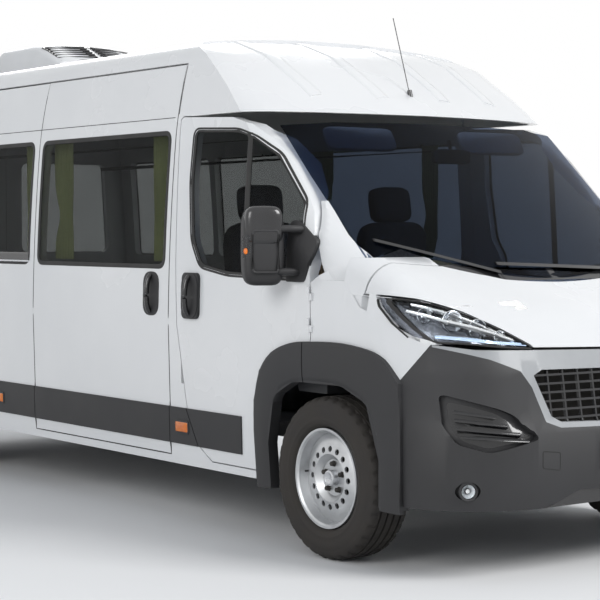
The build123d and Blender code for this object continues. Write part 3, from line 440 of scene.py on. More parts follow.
def turned(name, profile, centre, axis, look, body, steps=48, angle=35.0):
    """Piece turned about an axis: profile of (radius, distance along the axis) in mm."""
    turn = Vector(axis).to_track_quat("Z", "Y").to_matrix()
    rows = len(profile)
    verts = []
    for k in range(steps):
        a = 2 * math.pi * k / steps
        spin = Vector((math.cos(a), math.sin(a), 0))
        verts += [centre + turn @ (spin * (r * MM) + Vector((0, 0, h * MM))) for r, h in profile]
    faces = []
    for k in range(steps):
        a = k * rows
        b = (k + 1) % steps * rows
        faces += [[a + i, a + i + 1, b + i + 1, b + i] for i in range(rows - 1)]
    faces += [[k * rows for k in range(steps)], [k * rows + rows - 1 for k in range(steps)]]
    return add_mesh(name, verts, faces, look, body, angle=angle)


# Windows, seams and trim on the sides

BELT = 1272.0
WINDOW_TOP = 1926.0
SIDE_WINDOWS = [(2260.0, 3560.0), (3680.0, 4700.0), (4760.0, 5780.0)]
CAB_WINDOW = [
    (2044.0, 1683.0), (2036.0, 1935.0), (1661.0, 1918.0), (1536.0, 1884.0), (1383.0, 1796.0),
    (1159.0, 1573.0), (1085.0, 1300.0), (1130.0, 1232.0), (1695.0, 1241.0), (1930.0, 1275.0),
    (2010.0, 1400.0),
]
SLIDE_DOOR = box_line(2206.0, 3612.0, 342.0, 2268.0)
HANDLE_Z = (1021.0, 1243.0)


def window_seals():
    """Black rubber round every side window, and the bar of the quarter light."""
    for word, side in SIDES.items():
        find = on_side(side)
        for k, (d0, d1) in enumerate(SIDE_WINDOWS):
            line = rounded(box_line(d0 - 4, d1 + 4, BELT - 4, WINDOW_TOP + 4), 48.0)
            strip(f"window_seal_{word}_{k}", line, 13.0, 2.6, "rubber", "van", find)
        door = f"cab_door_{word}"
        line = rounded(CAB_WINDOW, 40.0)
        strip(f"cab_window_seal_{word}", line, 13.0, 3.2, "rubber", door, find)
        bar = [(1568.0, 1900.0), (1566.0, 1600.0), (1562.0, 1246.0)]
        strip(f"quarter_bar_{word}", bar, 20.0, 4.0, "rubber", door, find, closed=False)


def body_seams():
    """Fine dark joints between the fixed panels, and round the sliding door."""
    # Name, line, half width, height, step
    rows = (
        ("roof_joint", [(2204.0, 2272.0), (5940.0, 2272.0)], 2.6, 0.7, 120),
        ("cap_joint", [(2199.0, 2020.0), (2199.0, 2262.0)], 2.6, 0.7, 30.0),
        ("waist_joint", [(2230.0, 2004.0), (5890.0, 2004.0)], 2.2, 0.5, 120),
    )
    for word, side in SIDES.items():
        find = on_side(side)
        for name, line, half, lift, step in rows:
            strip(f"{name}_{word}", line, half, lift, "rubber", "van", find, closed=False, step=step)
    strip("slide_door_joint", SLIDE_DOOR, 3.6, 0.7, "rubber", "van", on_side(-1), step=90)


def track_rail():
    """Track of the sliding door along the belt line behind it."""
    # Name, line, half width, height, look
    rows = (
        ("track_rail", [(3668.0, 1302.0), (5560.0, 1302.0)], 24.0, 7.0, "gloss_black"),
        ("track_lip", [(3672.0, 1276.0), (5560.0, 1276.0)], 6.0, 9.0, "silver_trim"),
    )
    for name, line, half, lift, look in rows:
        strip(name, line, half, lift, look, "van", on_side(-1), closed=False, step=90)


def door_handle(name, d0, d1, side, body):
    """Upright pull handle over a dark oval cup."""
    find = on_side(side)
    z0, z1 = HANDLE_Z
    cup = rounded(box_line(d0, d1, z0, z1), 66.0, steps=8)
    plate(name + "_cup", cup, 5.0, "trim", body, find, bulge=-3.0)
    middle = (d0 + d1) / 2
    rows = []
    for k in range(13):
        t = k / 12
        rise = math.sin(math.pi * t) ** 0.5
        rows.append(find(Vector((middle, z0 + 18 + (z1 - z0 - 36) * t)), 4.0 + 24.0 * rise))
    tube(name + "_grip", rows, 13.0, "gloss_black", body)


def side_marker(name, d0, side, body):
    """Small amber lamp in a dark surround on the moulding."""
    find = on_side(side)
    line = rounded(box_line(d0, d0 + 128.0, 452.0, 520.0), 12.0)
    plate(name + "_rim", line, 5.0, "trim", body, find)
    line = rounded(box_line(d0 + 9.0, d0 + 119.0, 461.0, 511.0), 9.0)
    plate(name, line, 7.0, "amber", body, find, bulge=4.0, sunk=-3.0)


def side_markers():
    """Amber lamps low on the cab doors and behind the sliding door."""
    side_marker("marker_front_right", 2029.0, -1, "cab_door_right")
    side_marker("marker_front_left", 2029.0, 1, "cab_door_left")
    for word, side in SIDES.items():
        side_marker(f"marker_rear_{word}", 3980.0, side, "van")


window_seals()
body_seams()
track_rail()
for word, side in SIDES.items():
    door_handle(f"cab_handle_{word}", 1924.0, 2065.0, side, f"cab_door_{word}")
door_handle("slide_handle", 2297.0, 2444.0, -1, "van")
side_markers()


# Wheels

TYRE_R_MM = 360.0
TREAD_STEPS = 216
HUB_BOLTS = 5
BOLT_CIRCLE = 62.0

# Half of the tyre's profile from the bead to the middle of the tread: radius, place across
TYRE_PROFILE = [
    (224.0, 84.0), (230.0, 92.0), (238.0, 101.0), (246.0, 106.0), (250.0, 106.5),
    (254.0, 109.0), (262.0, 110.0), (266.0, 108.8), (280.0, 111.0), (296.0, 111.0),
    (312.0, 109.5), (318.0, 107.0), (322.0, 107.5), (334.0, 104.0), (344.0, 99.0),
    (351.0, 92.0), (355.5, 84.0), (357.6, 76.0), (358.4, 66.0), (358.8, 62.0), (349.5, 60.0),
    (349.5, 53.0), (359.2, 51.0), (359.6, 40.0), (359.8, 24.0), (350.0, 22.0), (350.0, 15.0),
    (360.0, 13.0), (360.0, 0.0),
]


def wheel_centre(row, word):
    """Middle of a wheel, from its CAD tyre."""
    low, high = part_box(f"tyre_{row}_{word}")
    return (low + high) / 2


def tread_drop(radius, across, step):
    """How deep the tread's cross cuts and the shoulder's notches go at a step round the tyre."""
    if radius > 357.0 and 28.0 < abs(across) < 50.0:
        return 6.0 if (step + (2 if across > 0 else 0)) % 6 == 0 else 0.0
    if radius > 350.0 and abs(across) > 62.0:
        return 7.0 if step % 6 in (0, 1) else 0.0
    if 330.0 < radius <= 350.0:
        return 3.0 if step % 6 in (0, 1) else 0.0
    return 0.0


def tyre(row, word):
    """Tyre with grooves, cross cuts and ribs on its wall."""
    centre = wheel_centre(row, word)
    half = TYRE_PROFILE
    profile = half + [(r, -w) for r, w in reversed(half[:-1])]
    count = len(profile)
    verts = []
    for step in range(TREAD_STEPS):
        a = 2 * math.pi * step / TREAD_STEPS
        for r, w in profile:
            r2 = r - tread_drop(r, w, step)
            verts.append(centre + Vector((w, r2 * math.cos(a), r2 * math.sin(a))) * MM)
    faces = []
    for step in range(TREAD_STEPS):
        a = step * count
        b = (step + 1) % TREAD_STEPS * count
        faces += [[a + i, a + (i + 1) % count, b + (i + 1) % count, b + i] for i in range(count)]
    piece = add_mesh(f"tyre_{row}_{word}_rubber", verts, faces, "tyre", f"wheel_{row}_{word}", angle=30.0)
    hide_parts(f"tyre_{row}_{word}")


def hub_parts(row, word):
    """Centre cap, wheel bolts and valve on the outer face of a wheel."""
    side = SIDES[word]
    centre = wheel_centre(row, word)
    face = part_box(f"rim_{row}_{word}")
    outer = (face[1].x if side > 0 else face[0].x) - centre.x
    seat = abs(outer) / MM - 50.0
    axis = Vector((side, 0, 0))
    body = f"wheel_{row}_{word}"
    cap = [
        (0.1, -12.0), (33.0, -12.0), (36.0, 0.0), (36.0, 24.0),
        (33.0, 31.0), (26.0, 34.0), (22.0, 31.5), (0.1, 31.5),
    ]
    turned(f"hub_cap_{row}_{word}", cap, centre + axis * (seat * MM), axis, "silver_trim", body)
    for k in range(HUB_BOLTS):
        a = 2 * math.pi * (k + 0.25) / HUB_BOLTS
        across = Vector((side * seat * MM, BOLT_CIRCLE * math.cos(a) * MM, BOLT_CIRCLE * math.sin(a) * MM))
        spot = centre + across
        bolt = [(0.1, -6.0), (15.0, -6.0), (15.0, 3.0), (11.5, 4.0), (11.5, 17.0), (9.0, 20.0), (0.1, 20.0)]
        turned(f"bolt_{row}_{word}_{k}", bolt, spot, axis, "dark_metal", body, steps=6, angle=20.0)
    stem = centre + Vector((side * (seat - 2.0) * MM, 0.171, 0.012))
    tube(f"valve_{row}_{word}", [stem, stem + axis * 0.030 + Vector((0, 0.006, 0))], 4.5, "rubber", body)


for row in ("front", "rear"):
    for word in SIDES:
        tyre(row, word)
        hub_parts(row, word)


# Lamps, their fillers in the wings, and the bumper

# Front views: x, z
LAMP_LINE = [
    (545.0, 956.0), (590.0, 990.0), (640.0, 1029.0), (700.0, 1066.0), (760.0, 1099.0),
    (830.0, 1129.0), (900.0, 1152.0), (962.0, 1163.0), (970.0, 1150.0), (962.0, 1100.0),
    (950.0, 1040.0), (935.0, 990.0), (900.0, 984.0), (860.0, 985.0), (697.0, 967.0),
]
INTAKE_LINE = [
    (940.0, 780.0), (870.0, 755.0), (747.0, 716.0), (690.0, 690.0), (590.0, 590.0),
    (810.0, 540.0), (915.0, 575.0), (938.0, 640.0),
]
FOG_LAMP = (877.0, 384.0, 38.0)


def mesh_object(name, verts, faces):
    """Bare object for a cut, not kept in the scene."""
    mesh = bpy.data.meshes.new(name)
    mesh.from_pydata([tuple(v) for v in verts], [], faces)
    work = bmesh.new()
    work.from_mesh(mesh)
    bmesh.ops.recalc_face_normals(work, faces=work.faces)
    work.to_mesh(mesh)
    work.free()
    obj = bpy.data.objects.new(name, mesh)
    bpy.context.scene.collection.objects.link(obj)
    return obj


def filled(line, step):
    """Triangles inside a closed flat line: points and faces, the line's points first."""
    edge = dense([Vector(q) for q in line], step, True)
    count = len(edge)
    xs = [q.x for q in edge]
    ys = [q.y for q in edge]
    inner = []
    x = min(xs) + step / 2
    while x < max(xs):
        y = min(ys) + step / 2
        while y < max(ys):
            inner.append(Vector((x, y)))
            y += step
        x += step
    keep = []
    for q in inner:
        odd = False
        near = False
        for k in range(count):
            a = edge[k]
            b = edge[(k + 1) % count]
            if (a.y > q.y) != (b.y > q.y) and q.x < (b.x - a.x) * (q.y - a.y) / (b.y - a.y) + a.x:
                odd = not odd
            near = near or (a - q).length < step * 0.45
        if odd and not near:
            keep.append(q)
    out = delaunay_2d_cdt(edge + keep, [(k, (k + 1) % count) for k in range(count)], [], 1, 0.001)
    return out[0], out[2], count


def panel_parts(line, find, high, low, step):
    """Closed slab between two heights over the skin, inside a flat line."""
    points, tris, count = filled(line, step)
    top = [find(q, high) for q in points]
    base = [find(q, low) for q in points]
    n = len(points)
    faces = [list(t) for t in tris] + [[i + n for i in reversed(t)] for t in tris]
    faces += [[k, (k + 1) % count, (k + 1) % count + n, k + n] for k in range(count)]
    return top + base, faces


def panel(name, line, find, high, low, look, body, step=22.0):
    """Slab over the skin as a piece that rides on a body."""
    verts, faces = panel_parts(line, find, high, low, step)
    return add_mesh(name, verts, faces, look, body, angle=40.0)


def mirrored_line(line, side):
    """A line of the left side, for either side."""
    return [(x * side, z) for x, z in line]


def on_front_deep(p, lift):
    """Projection onto the front with the lift taken straight along the van."""
    hit = project(place(p[0], -300.0, p[1]), Vector((0, 1, 0)), 0.0)
    return hit + Vector((0, -lift * MM, 0))


def cut_copy(node, cutters, body):
    """The visible form of a CAD node with pieces cut out of it."""
    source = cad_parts[node]
    obj = bpy.data.objects.new(node + "_skin", source.data.copy())
    bpy.context.scene.collection.objects.link(obj)
    work = bmesh.new()
    work.from_mesh(obj.data)
    bmesh.ops.remove_doubles(work, verts=work.verts, dist=0.00002)
    bmesh.ops.recalc_face_normals(work, faces=work.faces)
    work.to_mesh(obj.data)
    work.free()
    if "custom_normal" in obj.data.attributes:
        obj.data.attributes.remove(obj.data.attributes["custom_normal"])
    for cutter in cutters:
        cut = obj.modifiers.new("cut", "BOOLEAN")
        cut.operation = "DIFFERENCE"
        cut.solver = "EXACT"
        cut.object = cutter
    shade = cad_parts[node].modifiers["soft_shading"].node_group
    obj.modifiers.new("soft_shading", "NODES").node_group = shade
    bpy.context.view_layer.update()
    seen = obj.evaluated_get(bpy.context.evaluated_depsgraph_get())
    mesh = bpy.data.meshes.new_from_object(seen)
    obj.modifiers.clear()
    obj.data = mesh
    look = source.data.materials[0]
    mesh.materials.clear()
    mesh.materials.append(look)
    for face in mesh.polygons:
        face.material_index = 0
    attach(obj, body)
    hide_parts(node)
    return obj


def bumper_cutters():
    """Forms of the side intakes and fog lamp seats, to be cut from the bumper."""
    cutters = []
    turns = [a / 12 * math.pi for a in range(24)]
    for word, side in SIDES.items():
        line = rounded(mirrored_line(INTAKE_LINE, side), 26.0)
        cutters.append(mesh_object("cutter_intake_" + word, *panel_parts(line, on_front, 40.0, -28.0, 30.0)))
        x, z, radius = FOG_LAMP
        ring = [(side * x + radius * math.cos(a), z + radius * math.sin(a)) for a in turns]
        cutters.append(mesh_object("cutter_fog_" + word, *panel_parts(ring, on_front, 30.0, -24.0, 30.0)))
    return cutters


def drop_objects(objs):
    """Take objects and their meshes out of the scene."""
    for obj in objs:
        mesh = obj.data
        bpy.data.objects.remove(obj)
        bpy.data.meshes.remove(mesh)


def front_end():
    """Bumper with its side intakes and fog lamp seats cut."""
    cuts = bumper_cutters()
    cut_copy("bumper_front", cuts, "van")
    drop_objects(cuts)


def bowl(name, centre, radius, depth, axis, look, body):
    """Open reflector, its wall 1.5 mm thick, with a bulb's ball in the middle."""
    rows = 8
    inner = [(radius * (k / rows) if k else 0.1, depth * ((k / rows) ** 2 - 1.0)) for k in range(rows + 1)]
    outer = [(r + 1.5, h - 1.5) for r, h in reversed(inner)]
    profile = inner + outer[:-1] + [(0.1, -depth - 1.5)]
    turned(name, profile, centre, axis, look, body, steps=36)
    ball = [(0.1, -9.0), (6.0, -7.0), (9.0, 0.0), (6.0, 7.0), (0.1, 9.0)]
    spot = centre - Vector(axis).normalized() * (depth * 0.55 * MM)
    turned(name + "_bulb", ball, spot, axis, "blank_plate", body, steps=20)


def over_hole(side):
    """Point (d, z) of the wing's side, drawn across the lamp's opening from below and above it."""
    find = on_side(side)

    def across(p, lift):
        low = find((p[0], 1040.0 if p[0] > 600.0 else 960.0), 0.0)
        high = find((p[0], 1202.0), 0.0)
        share = (p[1] * MM - low.z) / (high.z - low.z)
        width = abs(low.x + (high.x - low.x) * share) / MM
        return place(side * (width + lift), p[0], p[1])

    return across


# Reflectors of a lamp: x, z, radius
REFLECTORS = [(664.0, 1004.0, 30.0), (742.0, 1040.0, 42.0), (834.0, 1074.0, 44.0), (912.0, 1096.0, 30.0)]

# Bars in a lamp, in its front view: name, half width, height, depth of the root, look, line
LAMP_BARS = [
    ("strip", 8.0, -5.0, 11.0, "light_strip",
     [(575.0, 975.0), (700.0, 985.0), (850.0, 1003.0), (925.0, 1010.0)]),
    ("bar", 7.0, -6.0, 16.0, "chrome",
     [(620.0, 994.0), (700.0, 1028.0), (790.0, 1056.0), (880.0, 1080.0), (950.0, 1114.0)]),
    ("brow", 6.0, -7.0, 16.0, "chrome",
     [(650.0, 1016.0), (730.0, 1062.0), (820.0, 1104.0), (930.0, 1140.0)]),
]

# Side views of a lamp's rear part and of the painted filler behind it: d, z
LAMP_REAR = [
    (300.0, 975.0), (340.0, 980.0), (428.0, 1003.0), (517.0, 1058.0), (598.0, 1127.0),
    (622.0, 1170.0), (300.0, 1148.0),
]
LAMP_FILLER = [
    (505.0, 1044.0), (720.0, 1085.0), (800.0, 1110.0), (800.0, 1192.0), (624.0, 1180.0),
    (600.0, 1129.0), (530.0, 1066.0),
]


def lamp(word, side):
    """Headlamp: clear cover, dark housing, reflectors, bright bars and a pale strip."""
    line = rounded(mirrored_line(LAMP_LINE, side), 16.0)
    cover = panel(f"lamp_cover_{word}", line, on_front, 1.0, -2.0, "lamp_lens", "van", step=20.0)
    find = on_side(side)
    rear = rounded(LAMP_REAR, 10.0)
    panel(f"lamp_rear_cover_{word}", rear, find, 0.0, -3.0, "lamp_lens", "van", step=20.0)
    strip(
        f"lamp_rear_edge_{word}", LAMP_REAR[2:6], 4.0, 1.8, "rubber", "van", find,
        closed=False, step=18.0, sunk=8.0,
    )
    panel(f"lamp_filler_{word}", LAMP_FILLER, over_hole(side), 0.8, -20.0, "paint", "van", step=20.0)
    panel(f"lamp_housing_{word}", line, on_front_deep, -78.0, -84.0, "lamp_shell", "van", step=30.0)
    strip(f"lamp_edge_{word}", line, 4.0, 1.8, "rubber", "van", on_front, step=18.0, sunk=8.0)
    for k, (x, z, radius) in enumerate(REFLECTORS):
        front = on_front((side * x, z), 0.0)
        axis = Vector((side * (0.10 + 0.12 * k), -1.0, 0.12)).normalized()
        centre = front - axis * (22.0 * MM)
        bowl(f"reflector_{word}_{k}", centre, radius, 46.0, axis, "reflector", "van")
    for name, half, lift, sunk, look, points in LAMP_BARS:
        strip(
            f"lamp_{name}_{word}", mirrored_line(points, side), half, lift, look, "van", on_front,
            closed=False, step=22.0, sunk=sunk,
        )
    return cover


def lamps():
    """Both headlamps, with the CAD's headlamps hidden."""
    covers = [lamp(word, side) for word, side in SIDES.items()]
    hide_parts("headlamps")


INTAKE_FLOOR = [
    (925.0, 748.0), (870.0, 736.0), (760.0, 700.0), (650.0, 630.0),
    (620.0, 597.0), (812.0, 556.0), (902.0, 588.0), (920.0, 650.0),
]


def bumper_details():
    """Louvres in the side intakes, fog lamps, blank plate, tow eye's cover and the lower intake."""
    for word, side in SIDES.items():
        for k, z in enumerate((585.0, 618.0, 651.0, 684.0)):
            x0 = 640.0 + 42.0 * k
            line = [(side * x0, z), (side * 905.0, z + 22.0)]
            strip(
                f"louvre_{word}_{k}", line, 7.0, -9.0, "gloss_black", "van", on_front,
                closed=False, step=30.0, sunk=26.0,
            )
        line = rounded(mirrored_line(INTAKE_FLOOR, side), 20.0)
        panel(f"intake_floor_{word}", line, on_front, -26.0, -32.0, "gloss_black", "van", step=40.0)
        x, z = FOG_LAMP[:2]
        spot = on_front((side * x, z), 0.0)
        axis = Vector((side * 0.55, -1.0, 0.0)).normalized()
        ring = [(29.0, -20.0), (37.0, -20.0), (41.0, 0.0), (38.0, 5.0), (31.0, 3.0), (29.0, -6.0)]
        turned(f"fog_ring_{word}", ring + ring[:1], spot, axis, "trim", "van")
        bowl(f"fog_{word}", spot - axis * 0.004, 28.0, 20.0, axis, "reflector", "van")
        lens = [(0.1, -3.0), (28.5, -3.0), (28.5, 0.0), (15.0, 3.5), (0.1, 4.5)]
        turned(f"fog_lens_{word}", lens, spot, axis, "lamp_lens", "van")
    line = rounded([(-560.0, 300.0), (-376.0, 366.0), (376.0, 366.0), (560.0, 300.0)], 18.0)
    plate("lower_intake", line, 2.0, "gloss_black", "van", on_front)
    line = rounded(box_line(-260.0, 260.0, 445.0, 555.0), 8.0)
    plate("plate_front", line, 4.0, "blank_plate", "van", on_front)
    line = rounded([(-576.0, 470.0), (-485.0, 455.0), (-485.0, 530.0), (-576.0, 540.0)], 10.0)
    strip("tow_cover", line, 2.5, 1.2, "rubber", "van", on_front)


front_end()
lamps()
bumper_details()


# Flares over the front wheels

WHEEL_D = 948.0
FLARE_OUTER = [
    (420.0, 262.0), (412.0, 560.0), (420.0, 780.0), (493.0, 888.0), (593.0, 936.0),
    (799.0, 961.0), (1006.0, 959.0), (1170.0, 945.0), (1316.0, 896.0), (1411.0, 808.0),
    (1459.0, 667.0), (1464.0, 528.0), (1444.0, 262.0),
]
FLARE_INNER = [
    (557.0, 262.0), (552.0, 480.0), (590.0, 640.0), (660.0, 722.0), (800.0, 773.0),
    (960.0, 782.0), (1130.0, 772.0), (1260.0, 722.0), (1330.0, 620.0), (1350.0, 480.0),
    (1336.0, 262.0),
]


def curve_through(points, parts=10):
    """Smooth line through points."""
    out = []
    for k in range(len(points) - 1):
        p1 = Vector(points[k])
        p2 = Vector(points[k + 1])
        p0 = Vector(points[k - 1]) if k else p1 * 2 - p2
        p3 = Vector(points[k + 2]) if k + 2 < len(points) else p2 * 2 - p1
        for i in range(parts):
            t = i / parts
            a = p1 * 2 + (p2 - p0) * t
            b = (p0 * 2 - p1 * 5 + p2 * 4 - p3) * t * t + (p1 * 3 - p0 - p2 * 3 + p3) * t ** 3
            out.append((a + b) / 2)
    out.append(Vector(points[-1]))
    return out


def polar_line(points):
    """Angle round the wheel's centre and distance from it, along a smooth line."""
    out = []
    for q in curve_through(points):
        v = q - Vector((WHEEL_D, TYRE_R_MM))
        out.append((math.degrees(math.atan2(v.x, v.y)), v.length))
    return out


def side_x(z):
    """Half width of the body under its belt."""
    return 1000.0 + 18.0 * (z - 300.0) / 700.0


# Flare across: share from outer to inner edge, height over the body
FLARE_ACROSS = [
    (0.0, -6.0), (0.0, 15.0), (0.04, 19.0), (0.12, 20.5), (0.5, 23.0),
    (0.86, 22.0), (0.97, 18.5), (1.0, 12.0), (1.0, -30.0), (0.96, -30.0),
]


def flare(name, side, body, start, end):
    """Part of a wheel flare between two pairs of angles (outer, inner)."""
    outer = polar_line(FLARE_OUTER)
    inner = polar_line(FLARE_INNER)
    rows = 56
    wide = len(FLARE_ACROSS)
    verts = []
    for k in range(rows + 1):
        t = k / rows
        ends = []
        for line, pick in ((outer, 0), (inner, 1)):
            a = start[pick] + (end[pick] - start[pick]) * t
            r = table_value(line, a)
            a = math.radians(a)
            ends.append(Vector((WHEEL_D + r * math.sin(a), TYRE_R_MM + r * math.cos(a))))
        for share, rise in FLARE_ACROSS:
            q = ends[0].lerp(ends[1], share)
            verts.append(place(side * (side_x(q.y) + rise), q.x, q.y))
    faces = []
    for k in range(rows):
        a = k * wide
        b = a + wide
        faces += [[a + i, a + (i + 1) % wide, b + (i + 1) % wide, b + i] for i in range(wide)]
    faces += [list(range(wide)), list(range(rows * wide, (rows + 1) * wide))]
    return add_mesh(name, verts, faces, "trim", body, angle=40.0)


for word, side in SIDES.items():
    flare(f"flare_front_{word}", side, "van", (-100.0, -103.0), (11.7, 16.4))
    flare(f"flare_door_{word}", side, f"cab_door_{word}", (12.3, 17.2), (100.5, 103.0))


# Pillar foot and cowl

# Plan of the cab's front: x, d behind its middle
CAB_PLAN = [
    (0.0, 0.0), (430.0, 39.0), (700.0, 102.0), (860.0, 155.0),
    (905.0, 187.0), (940.0, 228.0), (970.0, 286.0), (992.0, 360.0),
]

# Front views of the left pillar's foot and of the cowl: x, z
PILLAR_FOOT = [
    (846.0, 1240.0), (846.0, 1322.0), (876.0, 1382.0), (884.0, 1430.0), (878.0, 1500.0),
    (872.0, 1580.0), (884.0, 1580.0), (922.0, 1500.0), (957.0, 1430.0), (974.0, 1370.0),
    (986.0, 1300.0), (991.0, 1262.0), (991.0, 1225.0),
]
COWL = [
    (-850.0, 1228.0), (-850.0, 1325.0), (-640.0, 1300.0), (-300.0, 1282.0), (0.0, 1276.0),
    (300.0, 1282.0), (640.0, 1300.0), (850.0, 1325.0), (850.0, 1228.0), (0.0, 1224.0),
]

# Side view of the wing's rear corner: d, z
WING_REAR = [(880.0, 1225.0), (900.0, 1275.0), (930.0, 1278.0), (1036.0, 1222.0), (1036.0, 1215.0)]

# Body side behind the cab's plan: growth of its half width per mm of d, and the most of it
SIDE_GROWTH = 0.325
SIDE_WIDEST = 1010.0


def on_cab(p, lift):
    """Point (x, z) of the cab's leaning front, moved ahead by lift."""
    lean = SCREEN_RUN / SCREEN_RISE
    back = SCREEN_D + (p[1] - SCREEN_Z) * lean + table_value(CAB_PLAN, abs(p[0]))
    return place(p[0], back - lift, p[1])


def pillar_foot():
    """Painted foot of each screen pillar behind the wing, and the dark cowl under the screen."""
    for word, side in SIDES.items():
        line = mirrored_line(PILLAR_FOOT, side)
        panel(f"pillar_foot_{word}", line, on_cab, 0.6, -30.0, "paint", "van", step=16.0)
        find = on_side_flat(side)
        panel(f"wing_rear_{word}", WING_REAR, find, 0.0, -30.0, "paint", "van", step=16.0)
    panel("cowl", COWL, on_cab, 1.5, -20.0, "gloss_black", "van", step=45.0)


def on_side_flat(side):
    """Point (d, z) of the body side at the door's front edge."""
    end_x, end_d = CAB_PLAN[-1]

    def find(p, lift):
        front = SCREEN_D + (p[1] - SCREEN_Z) * SCREEN_RUN / SCREEN_RISE
        width = min(SIDE_WIDEST, end_x + SIDE_GROWTH * (p[0] - front - end_d))
        return place(side * (width + lift), p[0], p[1])
    return find


pillar_foot()


# Mirrors


def soft_box(name, centre, half, power, turn, look, body, steps=40):
    """Box with full round corners: half sizes in mm, power from 0.2 boxy to 1.0 round."""
    def bend(v):
        return math.copysign(abs(v) ** power, v)
    verts = []
    rows = steps // 2
    for i in range(1, rows):
        a = -math.pi / 2 + math.pi * i / rows
        for k in range(steps):
            b = 2 * math.pi * k / steps
            local = Vector((
                half[0] * bend(math.cos(a)) * bend(math.cos(b)),
                half[1] * bend(math.cos(a)) * bend(math.sin(b)),
                half[2] * bend(math.sin(a)),
            ))
            verts.append(centre + turn @ (local * MM))
    verts.append(centre + turn @ (Vector((0, 0, -half[2])) * MM))
    verts.append(centre + turn @ (Vector((0, 0, half[2])) * MM))
    faces = []
    for i in range(rows - 2):
        for k in range(steps):
            a = i * steps
            faces.append([a + k, a + (k + 1) % steps, a + steps + (k + 1) % steps, a + steps + k])
    bottom = len(verts) - 2
    last = (rows - 2) * steps
    faces += [[k, (k + 1) % steps, bottom] for k in range(steps)]
    faces += [[last + k, last + (k + 1) % steps, bottom + 1] for k in range(steps)]
    return add_mesh(name, verts, faces, look, body, angle=60.0)


# Arms: x, d, height over the arm's foot; and z of the two feet
MIRROR_ARM = [(998.0, 1128.0, 0.0), (1030.0, 1122.0, 2.0), (1062.0, 1134.0, 3.0), (1110.0, 1165.0, 3.0)]
MIRROR_ARM_Z = (1262.0, 1452.0)

# Side view of the foot on the door: d, z
MIRROR_FOOT = [
    (1084.0, 1218.0), (1060.0, 1270.0), (1036.0, 1330.0), (1026.0, 1400.0),
    (1150.0, 1492.0), (1190.0, 1492.0), (1215.0, 1218.0),
]


def door_mirror(word, side):
    """Mirror on two arms: rounded head with a frame, glass, lamp and foot."""
    body = f"cab_door_{word}"
    turn = Matrix.Rotation(math.radians(side * 24.0), 3, "Z")
    centre = place(side * 1140.0, 1228.0, 1378.0)
    head = soft_box(f"mirror_head_{word}", centre, (92.0, 62.0, 176.0), 0.42, turn, "trim", body)
    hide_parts(f"mirror_{word}")
    cap_at = centre + turn @ Vector((0, -0.012, 0.088))
    soft_box(f"mirror_cap_{word}", cap_at, (88.0, 60.0, 92.0), 0.5, turn, "gloss_black", body)
    glass_at = centre + turn @ Vector((0, 0.058, 0.04))
    soft_box(f"mirror_glass_{word}", glass_at, (78.0, 8.0, 112.0), 0.25, turn, "chrome", body)
    frame_line = [(-60.0, 1262.0), (-60.0, 1446.0), (56.0, 1446.0), (56.0, 1262.0)]
    ring = []
    for u, z in rounded(frame_line, 16.0, 4):
        ring.append(centre + turn @ Vector((u * side * MM, -0.066, z * MM - centre.z)))
    tube(f"mirror_frame_{word}", ring, 7.0, "trim", body, closed=True)
    lamp_at = centre + turn @ Vector((side * 0.076, -0.042, -0.004))
    soft_box(f"mirror_lamp_{word}", lamp_at, (24.0, 26.0, 54.0), 0.4, turn, "lamp_lens", body, steps=24)
    bulb_at = centre + turn @ Vector((side * 0.086, -0.056, -0.022))
    soft_box(f"mirror_bulb_{word}", bulb_at, (9.0, 9.0, 14.0), 0.9, turn, "amber", body, steps=16)
    for k, z in enumerate(MIRROR_ARM_Z):
        points = [place(side * x, d, z + dz) for x, d, dz in MIRROR_ARM]
        tube(f"mirror_arm_{word}_{k}", points, 17.0, "trim", body)
    foot = rounded(MIRROR_FOOT, 16.0)
    panel(f"mirror_foot_{word}", foot, on_side_flat(side), 14.0, -8.0, "trim", body, step=30.0)


for word, side in SIDES.items():
    door_mirror(word, side)


# Roof unit

# Sections of the unit: d, half width, top z
UNIT_ROWS = [
    (4548.0, 318.0, 2476.0), (4556.0, 332.0, 2502.0), (4620.0, 340.0, 2540.0),
    (4740.0, 342.0, 2594.0), (4830.0, 342.0, 2622.0), (4900.0, 342.0, 2632.0),
    (5330.0, 342.0, 2636.0), (5420.0, 334.0, 2606.0), (5470.0, 318.0, 2540.0),
    (5484.0, 300.0, 2480.0),
]
UNIT_BASE = 2408.0

# Fall of the unit's front slope towards its sides, per square mm
UNIT_CROWN = 0.0002

# Louvred panels in that slope: d and z of their rows, x of their edges
VENT_ROWS = [(4553.0, 2493.0), (4620.0, 2541.0), (4740.0, 2595.0), (4812.0, 2618.0)]
VENT_EDGES = ((-306.0, -16.0), (16.0, 306.0))


